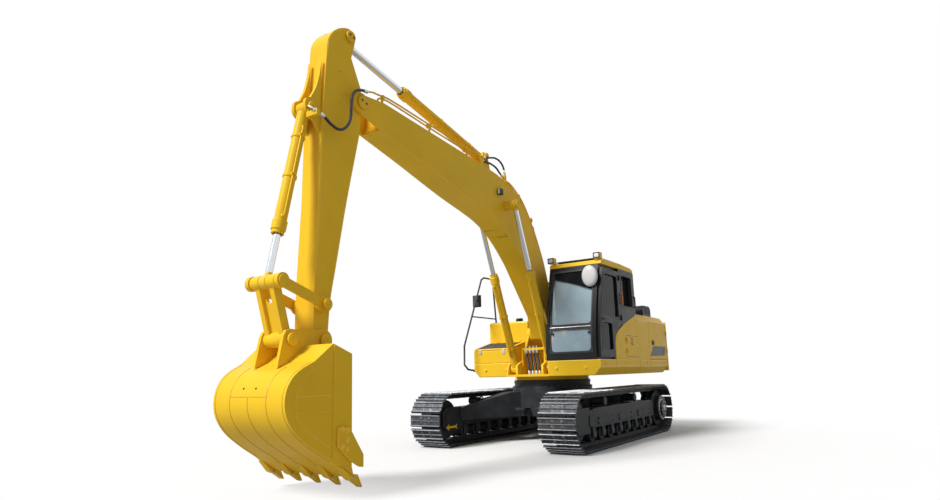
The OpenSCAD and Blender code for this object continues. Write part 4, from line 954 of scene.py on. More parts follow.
class EXCAVATOR_OT_running_gear(bpy.types.Operator):
    """Adds roller rims, sprocket teeth, drive covers, frame plates and the bolts of the swing ring"""
    bl_idname = "excavator.running_gear"
    bl_label = "Running gear"

    def execute(self, context):
        self.track = middle("track_left")[1]
        self.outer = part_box("side_frames")[1][1]
        self.axle = middle("idlers")[2]
        self.rollers()
        self.wheels(context.scene.excavator_fittings)
        self.drives()
        self.plates()
        self.ring()
        return {"FINISHED"}

    def row(self, node, count):
        """Radius of a row of rollers, and the X and Z of each one's axis."""
        low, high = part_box(node)
        radius = (high[2] - low[2]) / 2
        return radius, [(x, middle(node)[2]) for x in np.linspace(low[0] + radius, high[0] - radius, count)]

    def rollers(self):
        """Rims on both ends of each roller, outside the chain, and a cap on the shafts of the lower ones."""
        rims = []
        for node, count in ROLLERS.items():
            radius, axes = self.row(node, count)
            rim = collar([(radius - 0.004, 0.100), (radius + 0.012, 0.103), (radius + 0.012, 0.118),
                          (radius - 0.004, 0.122)], 24)
            rims += [placed(rim, (x, self.track, z), (0, side, 0)) for x, z in axes for side in (1, -1)]
        put("roller_rims", mirrored(join(*rims)), UNDER, "black", smooth=30)
        cap = lathe([(0.040, -0.004), (0.040, 0.006), (0.034, 0.012), (0.014, 0.012), (0.012, 0.018)], 16)
        _, axes = self.row("lower_rollers", ROLLERS["lower_rollers"])
        caps = copies(cap, [(x, self.outer, z) for x, z in axes], turned(ACROSS))
        put("roller_caps", mirrored(caps), UNDER, "black_edge", smooth=30)

    def wheels(self, fitting):
        """A raised rim and a dished face on each idler, and a ring of teeth on each sprocket between the links."""
        wheel = wheel_radius()
        rim = collar([(wheel - 0.012, -0.028), (wheel + 0.022, -0.020), (wheel + 0.022, 0.020),
                      (wheel - 0.012, 0.028)], 64)
        dish = collar([(wheel - 0.02, 0.112), (wheel - 0.07, 0.118), (0.09, 0.126), (0.06, 0.112)], 48)
        hub = (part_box("idlers")[1][0] - wheel, self.track, self.axle)
        front = join(placed(rim, hub, ACROSS), placed(dish, hub, ACROSS))
        put("idler_rims", mirrored(front), UNDER, "black", smooth=30)
        count = 22
        angle = (np.arange(count)[:, None] + np.array([-0.30, -0.14, 0.14, 0.30])) * 2 * np.pi / count
        root, tip = wheel - 0.004, wheel + fitting.chain_height / 2 + 0.010
        reach = np.array([root, tip, tip, root])
        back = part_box("sprockets")[0][0] + wheel
        outline = np.stack([back + reach * np.cos(angle), self.axle + reach * np.sin(angle)], -1).reshape(-1, 2)
        teeth = prism(outline, self.track - 0.024, self.track + 0.024)
        put("sprocket_teeth", mirrored(teeth), UNDER, "pin", smooth=30)

    def drives(self):
        """A raised step and a cap on each final drive, with two rings of bolts."""
        low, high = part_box("sprockets")
        hub = np.array([low[0] + wheel_radius(), high[1], self.axle])
        step = hub - [0, 0.040, 0]
        parts = [(copies(hex_bolt(0.026), circle_of(18, 0.208)), step),
                 (copies(hex_bolt(0.022), circle_of(10, 0.122)), hub),
                 (collar([(0.150, -0.004), (0.172, -0.004), (0.166, 0.006), (0.152, 0.010)], 48), step),
                 (lathe([(0.060, -0.004), (0.058, 0.008), (0.020, 0.012), (0.018, 0.016)]), hub)]
        parts = join(*[placed(shape, spot, ACROSS) for shape, spot in parts])
        put("drive_bolts", mirrored(parts), UNDER, "pin", smooth=30)

    def plates(self):
        """Cover plates and bolts on the outer faces of the side frames, and the arrow of the driving way on the
        inner ones."""
        _, axes = self.row("lower_rollers", ROLLERS["lower_rollers"])
        heads = [(x + shift, self.outer, 0.252) for x, _ in axes for shift in (-0.036, 0.036)]
        under, face = self.outer - 0.002, self.outer + 0.008
        shapes = []
        for x0, x1 in ((-1.30, -0.62), (-0.34, 0.30), (0.52, 1.18)):
            shapes.append(slab((x0, 0.365), (x1, 0.475), under, face, 1, 0.03))
            heads += [(x, face, z) for x in (x0 + 0.04, x1 - 0.04) for z in (0.385, 0.455)]
        shapes.append(slab((1.30, 0.345), (1.52, 0.515), under, self.outer + 0.012, 1, 0.04))
        put("frame_plates", mirrored(join(*shapes)), UNDER, "black", 0.003, 1)
        put("frame_bolts", mirrored(bolts(heads, ACROSS, 0.024)), UNDER, "black_edge")
        half = np.array([(0.09, 0.055), (0.075, 0.018), (0.26, 0.018), (0.32, 0.045)])
        arrow = np.concatenate([[(0.0, 0.0)], half, [(0.30, 0.0)], half[::-1] * [1, -1]])
        inner = self.outer - SIDE_FRAME_WIDTH
        arrow = prism(np.array([1.93, self.axle - 0.13]) - arrow, inner - 0.0025, inner - 0.0005)
        put("drive_arrow", mirrored(arrow), UNDER, "yellow")

    def ring(self):
        """A bolt circle under the swing ring, its seal lip and the rims of the tow eyes."""
        low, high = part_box("swing_ring")
        radius, top = high[0], high[2]
        lower = copies(hex_bolt(0.030), circle_of(40, radius + 0.015) + [0, 0, low[2]])
        put("ring_bolts", lower, UNDER, "black_edge")
        lip = collar([(radius - 0.02, top - 0.050), (radius + 0.012, top - 0.046), (radius + 0.012, top - 0.030),
                      (radius - 0.02, top - 0.026)], 96)
        put("ring_seal", lip, UNDER, "rubber")
        rim = collar(box_of((0.047, -0.026), (0.066, 0.026)), 28)
        put("tow_rims", join(*[placed(rim, (0.83, y, 0.56)) for y in (-0.18, 0.18)]), UNDER, "black", 0.004)


def cab_front(height):
    """X of the cab's front at a height."""
    return np.interp(height, [1.365, 1.7, 2.2, 2.95], [1.085, 1.075, 0.985, 0.785])


class EXCAVATOR_OT_cab(bpy.types.Operator):
    """Fits the cab's seals, wiper, lamps, mirrors, handles, seat and controls"""
    bl_idname = "excavator.cab"
    bl_label = "Cab fittings"

    def execute(self, context):
        self.back, self.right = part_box("cab_frame")[0][:2]
        self.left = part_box("cab_door")[1][1] - 0.024
        self.seals()
        self.wiper()
        self.lamps()
        self.mirrors()
        self.handles()
        self.seat()
        self.controls()
        return {"FINISHED"}

    def seals(self):
        """Rubber rims with rounded inner corners round all panes, and the bar and catches of the split screen."""
        left, right, behind = on_wall(1, self.left), on_wall(1, self.right, -1), on_wall(0, self.back, -1)

        def ahead(u, v, height):
            return np.stack([cab_front(v) + height, u, v], -1)

        fixed = [gasket(box_of((0.53, 1.48), (1.292, 1.88)), 0.022, 0.075, ahead),
                 gasket(box_of((0.53, 1.93), (1.292, 2.88)), 0.022, 0.055, ahead),
                 gasket(box_of((-0.60, 2.28), (-0.06, 2.86)), 0.020, 0.06, left, 0.060),
                 gasket(box_of((-0.60, 1.95), (0.64, 2.86)), 0.022, 0.06, right),
                 gasket(box_of((0.55, 2.28), (1.272, 2.86)), 0.022, 0.06, behind)]
        put("window_seals", join(*fixed), UPPER, "rubber", smooth=40)
        windows = ([(0.92, 2.06), (0.905, 2.20), (0.715, 2.81), (0.125, 2.81), (0.125, 2.06)],
                   [(0.95, 1.50), (0.945, 1.70), (0.925, 1.98), (0.46, 1.98), (0.46, 1.50)])
        moving = [gasket(window, 0.018, 0.06, left) for window in windows]
        put("door_seals", join(*moving), "door", "rubber", smooth=40)
        bar = [(cab_front(z) + out, z + shift) for z, out, shift in (
            (1.893, 0.001, 0.0), (1.893, 0.016, 0.004), (1.917, 0.016, -0.004), (1.917, 0.001, 0.0))]
        put("screen_bar", prism(bar, 0.545, 1.277), UPPER, "pin", 0.003)
        knob = lathe([(0.020, -0.022), (0.020, 0.010), (0.015, 0.018), (0.004, 0.020)], 20)
        spots = [(cab_front(1.80) - 0.004, y, 1.80) for y in (0.585, 1.237)]
        put("screen_catches", copies(knob, spots, turned((1, 0, 0.03))), UPPER, "trim")

    def wiper(self):
        """A bent arm with a blade, parked along the screen's right edge."""
        line = np.array([(0.500, 1.975), (0.512, 2.25), (0.532, 2.50), (0.565, 2.76)])
        y, z = spline(line, 24).T
        arm = tube(np.stack([cab_front(z) + 0.030, y, z], -1), np.linspace(0.009, 0.005, 24), 8)
        hub = placed(lathe([(0.028, -0.012), (0.028, 0.020), (0.020, 0.034), (0.006, 0.036)], 20),
                     (cab_front(1.975), 0.50, 1.975), (1, 0, 0.27))
        z = np.linspace(2.22, 2.80, 20)
        y = np.interp(z, line[:, 1], line[:, 0]) + 0.016
        blade = tube(np.stack([cab_front(z) + 0.012, y, z], -1), 0.008, 6)
        put("wiper", join(arm, hub, blade), UPPER, "rubber")

    def lamps(self):
        """Black rims and domed lenses in the roof lamps, a strip on the roof and the boom lamp's lens."""
        low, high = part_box("lamps")
        face, height = high[0], high[2] - 0.0525
        rims, panes = [], []
        for y in (low[1] + 0.065, high[1] - 0.065):
            window = box_of((y - 0.052, height - 0.041), (y + 0.052, height + 0.041))
            rims.append(gasket(window, 0.010, 0.016, on_wall(0, face), 0.004, 0.007))
            panes.append(domed(inset(window, 0.008), face, (
                (0.0, -0.002), (0.0, 0.003), (0.006, 0.006), (0.016, 0.008), (0.030, 0.009))))
        put("roof_lamp_rims", join(*rims), UPPER, "rubber", smooth=40)
        put("roof_lamp_lenses", join(*panes), UPPER, "lens", smooth=50)
        front, _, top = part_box("cab_roof")[1]
        visor = slab((0.575, top - 0.004), (1.265, top + 0.014), front - 0.16, front - 0.06, 0, 0.006)
        put("roof_visor", visor, UPPER, "trim", 0.004)
        low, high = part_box("boom_lamp")
        window = box_of((0.212, low[2] + 0.008), (high[1] - 0.007, high[2] - 0.008))
        lens = domed(window, high[0], ((0.0, -0.002), (0.0, 0.003), (0.008, 0.007), (0.018, 0.009)))
        put("boom_lamp_lens", lens, BOOM, "lens", smooth=50)

    def mirrors(self):
        """Domed backs and silvered faces of both mirrors."""
        centre, oval = np.array([1.25, 2.74]), circle_of(48, 1.0)[:, :2] * [0.132, 0.177]
        dome = [at_face(centre + oval * size, 0.925 + rise) for size, rise in (
            (1.0, -0.040), (1.01, -0.006), (0.99, 0.010), (0.90, 0.026), (0.70, 0.040), (0.40, 0.048), (0.05, 0.051))]
        put("oval_mirror_back", loft(dome), UPPER, "white", smooth=60)
        silver = loft([at_face(centre + oval * 0.93, x) for x in (0.8865, 0.8825)])
        put("oval_mirror_glass", silver, UPPER, "mirror")
        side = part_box("mirrors")[0][1]
        pane = box_of((side + 0.012, 2.492), (side + 0.178, 2.708))
        put("side_mirror_glass", plate(pane, 0.1475, 0.152, 0, 0.02), UPPER, "mirror")
        shell = domed(pane, 0.184, ((0.0, 0.0), (0.004, 0.010), (0.020, 0.020), (0.05, 0.026)), 0.025)
        put("side_mirror_back", shell, UPPER, "grey", smooth=50)

    def handles(self):
        """A pull on the door, and a grip before and behind the window of the left wall."""
        wall = self.left
        base = slab((0.76, 2.002), (0.90, 2.038), wall - 0.002, wall + 0.008, 1, 0.012)
        pull = bent([(0.785, wall, 2.02), (0.785, wall + 0.034, 2.02), (0.875, wall + 0.034, 2.02),
                     (0.875, wall, 2.02)], 0.018, 0.009)
        put("door_pull", join(base, pull), "door", "trim", smooth=40)
        for name, x, z0, z1, finish in (("front_grip", -0.022, 2.33, 2.51, "orange"),
                                        ("rear_grip", -0.665, 2.31, 2.50, "trim")):
            line = [(x, wall - 0.004, z0), (x, wall + 0.026, z0), (x, wall + 0.026, z1), (x, wall - 0.004, z1)]
            put(name, bent(line, 0.022, 0.011, 12), UPPER, finish, smooth=50)

    def seat(self):
        """A stuffed seat, back and head rest on a boxed stand, in place of the plain seat. Two grooves run along
        the seat and the back: each is sunk by 0.010 exp(-(d / 0.012)^2) at a distance d from its middle."""
        low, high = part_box("seat")
        mid = (low[1] + high[1]) / 2

        def groove(points, offset):
            return 0.010 * np.exp(-((np.abs(points[:, 1] - mid) - offset) / 0.012) ** 2)

        crown, faces = cushion((-0.27, low[1], 1.700), (0.30, high[1], 1.835))
        crown[:, 2] -= groove(crown, 0.15) * (crown[:, 2] > 1.78)
        pad = put("seat_cushion", (crown, faces), UPPER, "fabric", smooth=60)
        height = 0.55
        lean, faces = cushion((-0.06, low[1] + 0.015, 0.0), (0.06, high[1] - 0.015, height), 0.30)
        lean[:, 0] += 0.018 * np.cos(lean[:, 2] / height * 2 * np.pi) - 0.17 * lean[:, 2] - 0.275
        lean[:, 0] -= groove(lean, 0.13) * (lean[:, 0] > -0.35)
        lean[:, 2] += 1.80
        rest = put("seat_back", (lean, faces), UPPER, "fabric", smooth=60)
        head = put("head_rest", cushion((-0.44, mid - 0.15, 2.37), (-0.34, mid + 0.15, 2.50), 0.4), UPPER, "fabric",
                   smooth=60)
        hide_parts("seat")
        stand = join(slab((-0.15, mid - 0.15), (0.20, mid + 0.15), CAB_FLOOR, 1.70, 2, 0.03),
                     block((-0.20, mid - 0.19, 1.655), (0.25, mid + 0.19, 1.70)))
        put("seat_stand", stand, UPPER, "trim", 0.006)

    def controls(self):
        """Grips and boots on the levers, pedals, a monitor and the floor mat."""
        low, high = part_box("consoles")
        mid = (low[1] + high[1]) / 2
        sides = (low[1] + 0.045, high[1] - 0.045)
        grip = lathe([(0.012, -0.02), (0.024, 0.0), (0.028, 0.04), (0.024, 0.08), (0.030, 0.11), (0.026, 0.13),
                      (0.008, 0.136)], 20)
        boot = lathe([(0.052, 0.0), (0.048, 0.012), (0.038, 0.018), (0.040, 0.028), (0.028, 0.034), (0.030, 0.044),
                      (0.019, 0.052)], 20)
        tops = [placed(grip, (0.26, y, 2.06), (-0.1, 0, 1)) for y in sides]
        boots = [placed(boot, (0.26, y, 1.964)) for y in sides]
        put("lever_grips", join(*tops, *boots), UPPER, "rubber", smooth=50)
        foot = slab((-0.05, -0.09), (0.05, 0.09), 0.0, 0.012, 2, 0.012)
        pedals = [placed(foot, (0.545, mid + y, 1.47), (0.35, 0, 1)) for y in (-0.085, 0.085)]
        put("pedals", join(*pedals), UPPER, "rubber", 0.003, 1)
        screen_parts = join(slab((0.50, 2.02), (0.74, 2.20), 0.66, 0.70, 0, 0.02),
                            block((0.675, 0.60, 1.95), (0.69, 0.64, 2.04)),
                            block((0.62, 0.52, 1.945), (0.74, 0.70, 1.955)))
        put("monitor", screen_parts, UPPER, "trim", 0.005)
        mat = slab((0.12, mid - 0.36), (0.98, mid + 0.36), CAB_FLOOR, 1.413, 2, 0.05)
        put("floor_mat", mat, UPPER, "rubber")


class EXCAVATOR_OT_body(bpy.types.Operator):
    """Adds painted shade strips in the louvres and slots, handles, caps, treads, bolts and seams to the upper body"""
    bl_idname = "excavator.body"
    bl_label = "Body fittings"

    def execute(self, context):
        self.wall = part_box("left_deck")[1][1]
        self.left_side()
        self.right_side()
        self.decks(context.scene.excavator_fittings)
        self.top()
        self.tail()
        self.foot()
        return {"FINISHED"}

    def handle(self, x, z, side):
        """A moulded paddle handle in a shallow bezel, on the side wall."""
        wall = side * self.wall
        bezel = slab((x - 0.055, z - 0.045), (x + 0.055, z + 0.045), wall - side * 0.002, wall + side * 0.008, 1, 0.014)
        paddle = slab((x - 0.040, z - 0.030), (x + 0.024, z + 0.030), wall, wall + side * 0.016, 1, 0.010)
        lock = placed(lathe([(0.010, -0.002), (0.010, 0.010), (0.007, 0.012)], 14),
                      (x + 0.038, wall + side * 0.006, z), (0, side, 0))
        return join(bezel, paddle, lock)

    def left_side(self):
        """Dark strips of painted shade in the louvre slots, a quarter-turn latch, a paddle handle and a bare plate."""
        wall = self.wall
        slots = [prism([(-0.498, z + 0.002), (-0.362, z + 0.0235), (-0.362, z + 0.0385), (-0.498, z + 0.0165)],
                       wall - 0.0135, wall - 0.0105) for z in (1.615, 1.66, 1.705)]
        # painted shade: dark strips sunk in the louvre slots
        put("louvre_shade_strips", join(*slots), "service_door", "rubber")
        latch = lathe([(0.022, -0.002), (0.022, 0.006), (0.016, 0.010), (0.004, 0.011)], 20)
        put("service_latch", placed(latch, (-0.675, wall, 1.607), ACROSS), "service_door", "zinc")
        put("rear_handle_left", self.handle(-1.59, HANDLE_HEIGHT, 1), "rear_door_left", "trim", 0.003)
        sign = [(-1.392, 1.427), (-1.587, 1.62), (-2.369, 1.628), (-2.278, 1.446)]
        put("bare_plate", plate(sign, wall - 0.001, wall + 0.003, 1, 0.02), "rear_door_left", "grey", 0.001, 1)

    def right_side(self):
        """Dark strips of painted shade in the grille slots and a handle on the right rear door, and the catches of the
        toolbox.
        """
        wall = -self.wall
        slots = [block((-2.248, wall + 0.0105, z + 0.002), (-1.452, wall + 0.0135, z + 0.024))
                 for z in np.arange(1.49, 1.911, 0.06)]
        # painted shade: dark strips sunk in the grille slots
        put("grille_shade_strips", join(*slots), "rear_door_right", "rubber")
        put("rear_handle_right", self.handle(-2.34, HANDLE_HEIGHT, -1), "rear_door_right", "trim", 0.003)
        low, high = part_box("toolbox")
        catch = [slab((y - 0.03, 1.535), (y + 0.03, 1.615), high[0] - 0.001, high[0] + 0.012, 0, 0.008)
                 for y in (low[1] + 0.15, high[1] - 0.15)]
        put("toolbox_catches", join(*catch), UPPER, "zinc", 0.003)

    def decks(self, fitting):
        """Bolts along the skirts and the fronts of both decks, and seams between the skirt plates."""
        wall = self.wall
        left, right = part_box("left_deck")[1][0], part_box("right_deck")[1][0]
        skirt, front = 1.305, 1.235
        rows = [bolts(points, axis, fitting.bolt_size * share) for points, axis, share in (
            ([(x, wall, skirt) for x in (0.848, -0.03, -0.163, -1.173, -1.575, -2.30)], ACROSS, 0.8),
            ([(x, -wall, skirt) for x in (0.30, -0.35, -1.0, -1.65, -2.30)], (0, -1, 0), 0.8),
            ([(left, y, front) for y in (0.639, 1.159)], AHEAD, 1.2),
            ([(right, y, front) for y in (-0.70, -1.15)], AHEAD, 1.2))]
        put("deck_bolts", join(*rows), UPPER, "yellow_edge")
        lines = [block((x - 0.0025, wall - 0.002, 1.245), (x + 0.0025, wall + 0.0006, 1.362))
                 for x in (0.40, -0.78, -1.40)]
        put("skirt_seams", mirrored(join(*lines)), UPPER, "rubber")

    def tread(self, x0, x1, y0, y1, top, slope=0.0):
        """A plate with rows of raised studs, on a top that may slope along X: z + top + slope (x - x0)."""
        base = block((x0, y0, 0.0), (x1, y1, 0.005))
        stud = lathe([(0.011, 0.004), (0.009, 0.009), (0.005, 0.009)], 6)
        x, y = np.meshgrid(*[np.arange(low + 0.04, high - 0.02, 0.055) for low, high in ((x0, x1), (y0, y1))],
                           indexing="ij")
        spots = np.stack([x.ravel(), y.ravel(), np.zeros(x.size)], -1)
        vertices, faces = join(base, copies(stud, spots))
        vertices[:, 2] += top + slope * (vertices[:, 0] - x0)
        return vertices, faces

    def top(self):
        """Non-slip treads and filler caps on the tanks, and dark strips of painted shade in the slots, pulls, the
        exhaust and the cowl's bands on the hood."""
        fuel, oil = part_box("fuel_tank")[1][2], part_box("oil_tank")[1][2]
        slope = (1.633 - 1.772) / (0.45 + 0.124)
        lid = self.tread(-0.05, 0.42, -1.36, -0.66, 1.772 + slope * 0.074, slope)
        put("lid_tread", lid, "toolbox_cover", "trim")
        treads = join(self.tread(-0.66, -0.20, -1.36, -1.15, fuel), self.tread(-1.06, -0.74, -1.36, -0.60, oil))
        put("tank_treads", treads, UPPER, "trim")
        cap = lathe([(0.085, -0.004), (0.085, 0.014), (0.072, 0.020), (0.072, 0.056), (0.062, 0.066), (0.02, 0.068)])
        small = (cap[0] * [0.7, 0.7, 1.0], cap[1])
        grip = block((-0.07, -0.010, 0.056), (0.07, 0.010, 0.080))
        small_grip = block((-0.05, -0.008, 0.056), (0.05, 0.008, 0.076))
        fuel_cap, oil_cap = (-0.40, -0.86, fuel), (-0.90, -0.585, oil)
        caps = [placed(shape, spot) for shape, spot in (
            (cap, fuel_cap), (small, oil_cap), (grip, fuel_cap), (small_grip, oil_cap))]
        put("filler_caps", join(*caps), UPPER, "cab", 0.003, smooth=30)
        low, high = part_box("intake_cowl")
        deck = low[2]
        slots = [block((x + 0.002, -0.998, deck - 0.0115), (x + 0.026, 0.598, deck - 0.009))
                 for x in -2.43 + 0.15 + 0.07 * np.arange(5)]
        # painted shade: dark strips sunk in the hood slots
        put("hood_slot_shade_strips", join(*slots), "hood", "rubber")
        pulls = [bent([(-2.36, y - 0.09, deck - 0.004), (-2.36, y - 0.09, deck + 0.045),
                       (-2.36, y + 0.09, deck + 0.045), (-2.36, y + 0.09, deck - 0.004)], 0.03, 0.011)
                 for y in (-0.55, 0.55)]
        put("hood_pulls", join(*pulls), "hood", "trim", smooth=50)
        x, y = -1.62, -0.72
        stack = bent([(x, y, deck - 0.01), (x, y, deck + 0.24), (x - 0.10, y, deck + 0.33)], 0.09, 0.055, 24, 7)
        foot = collar([(0.054, 0.0), (0.095, 0.0), (0.092, 0.012), (0.064, 0.020), (0.064, 0.05), (0.054, 0.05)])
        put("exhaust", join(stack, placed(foot, (x, y, deck))), "hood", "pin", smooth=40)
        band = [block((x, low[1] - 0.003, deck + 0.02), (x + 0.006, high[1] + 0.003, deck + 0.05))
                for x in (low[0] + 0.03, high[0] - 0.05)]
        put("cowl_bands", join(*band), "hood", "zinc")

    def tail(self):
        """Lifting rings on the counterweight, and a guard strip, reflectors, bolts and a panel on its back."""
        low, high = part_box("counterweight")
        back = low[0]
        ring = collar(box_of((0.034, 0.0), (0.052, 0.006)), 28)
        put("lift_rings", copies(ring, [(-2.60, y, high[2]) for y in (-0.70, 0.70)]), UPPER, "zinc")
        strip = slab((-0.95, 1.20), (0.95, 1.30), back - 0.012, back + 0.004, 0, 0.03)
        put("tail_guard", strip, UPPER, "rubber", 0.004)
        glow = [slab((y - 0.11, 1.40), (y + 0.11, 1.46), back - 0.006, back + 0.004, 0, 0.015) for y in (-0.88, 0.88)]
        put("tail_reflectors", join(*glow), UPPER, "red", 0.002)
        heads = bolts([(back, y, z) for y in (-0.62, 0.62) for z in (1.62, 1.86)], (-1, 0, 0), 0.055)
        put("tail_bolts", heads, UPPER, "yellow_edge")
        panel = slab((-0.50, 1.52), (0.50, 1.96), back - 0.004, back + 0.004, 0, 0.06)
        put("tail_panel", panel, UPPER, "yellow", 0.002)

    def foot(self):
        """Pipes behind the hose bar at the boom's foot, and nuts on the bar and at the hoses' lower ends."""
        pipes, nuts = [], []
        nut = lathe([(0.026, 0.0), (0.026, 0.022), (0.020, 0.030)], 6)
        for y in HOSE_ROW:
            pipes.append(bent([(0.636, y, 1.59), (0.53, y, 1.59), (0.47, y + 0.02, 1.45), (0.42, y + 0.02, 1.10)],
                              0.07, 0.013))
            nuts += [placed(nut, (0.636, y, 1.59), (-1, 0, 0)), placed(nut, (0.66, y, 1.6095)),
                     placed(nut, (0.72, y + 0.07, 1.1495))]
        put("foot_pipes", join(*pipes), UPPER, "yellow", smooth=50)
        put("foot_nuts", join(*nuts), UPPER, "pin", smooth=28)


CYLINDERS = {  # body, Y of each barrel, radii of barrel and rod, barrel's length, turn of the pipe about it
    "boom": ("boom_barrels", (0.36, -0.36), 0.070, 0.042, 1.76, 0.0),
    "arm": ("arm_barrel", (0.0,), 0.080, 0.048, 2.05, 1.3),
    "bucket": ("bucket_barrel", (0.0,), 0.070, 0.040, 1.57, 1.9),
}


class EXCAVATOR_OT_cylinders(bpy.types.Operator):
    """Adds glands, clamps and pipes to the hydraulic cylinders"""
    bl_idname = "excavator.cylinders"
    bl_label = "Cylinder fittings"

    def execute(self, context):
        for name, (body, sides, *sizes) in CYLINDERS.items():
            frames = [cylinder_frame(name + "_barrel_turn", name + "_rod_slide", side) for side in sides]
            self.fit(name + "_cylinder", body, frames, *sizes)
        return {"FINISHED"}

    def fit(self, name, body, frames, radius, rod, length, turn):
        """In the barrel's own frame, Z runs to the rod: a wiper ring and bolts on its end, two clamp rings with
        lugs, and a pipe that runs from the foot to the gland beside the barrel."""
        wiper = collar([(rod + 0.0005, length - 0.004), (rod + 0.012, length - 0.004), (rod + 0.010, length + 0.010),
                        (rod + 0.0005, length + 0.014)])
        heads = copies(hex_bolt(0.017), circle_of(10, (radius + rod) / 2 + 0.003) + [0, 0, length])
        rings, lugs = [], []
        for z in (0.36, length * 0.55):
            rings.append(collar([(radius - 0.001, z), (radius + 0.008, z), (radius + 0.010, z + 0.006),
                                 (radius + 0.010, z + 0.030), (radius + 0.008, z + 0.036),
                                 (radius - 0.001, z + 0.036)], 40))
            lugs += [block((radius + 0.004, -0.022 + shift, z + 0.004), (radius + 0.045, -0.010 + shift, z + 0.032))
                     for shift in (0.0, 0.030)]
        rise, port_height = radius + 0.030, length - 0.19
        pipe = bent([(radius - 0.004, 0, port_height), (rise, 0, port_height), (rise, 0, 0.29),
                     (radius - 0.004, 0, 0.25)], 0.035, 0.012)
        port = placed(lathe([(0.026, 0.0), (0.026, 0.020), (0.020, 0.028)], 6), (radius - 0.006, 0, port_height), AHEAD)
        spin = np.array([[math.cos(turn), math.sin(turn), 0], [-math.sin(turn), math.cos(turn), 0], [0, 0, 1]])
        painted = [(shape[0] @ spin, shape[1]) for shape in (*rings, *lugs, pipe, port)] + [heads]
        put(name + "_pipes", join(*[placed(shape, *spot) for spot in frames for shape in painted]), body, "yellow")
        put(name + "_wiper", join(*[placed(wiper, *spot) for spot in frames]), body, "rubber")


PIN_CAPS = {  # joint at the pin, body, half length and radius of the cap
    "boom_foot": ("boom_lift", UPPER, 0.312, 0.075),
    "boom_tip": ("arm_swing", BOOM, 0.230, 0.085),
    "arm_cylinder_foot": ("arm_barrel_turn", BOOM, 0.148, 0.058),
    "arm_cylinder_eye": ("arm_rod_slide", ARM, 0.173, 0.074),
    "bucket_cylinder_foot": ("bucket_barrel_turn", ARM, 0.140, 0.060),
    "lever": ("lever_turn", ARM, 0.264, 0.062),
    "bucket": ("bucket_curl", ARM, 0.231, 0.066),
    "crank": ("link_turn", BUCKET, 0.221, 0.066),
    "boom_cylinder_foot": ("boom_barrel_turn", UPPER, 0.474, 0.058),
}


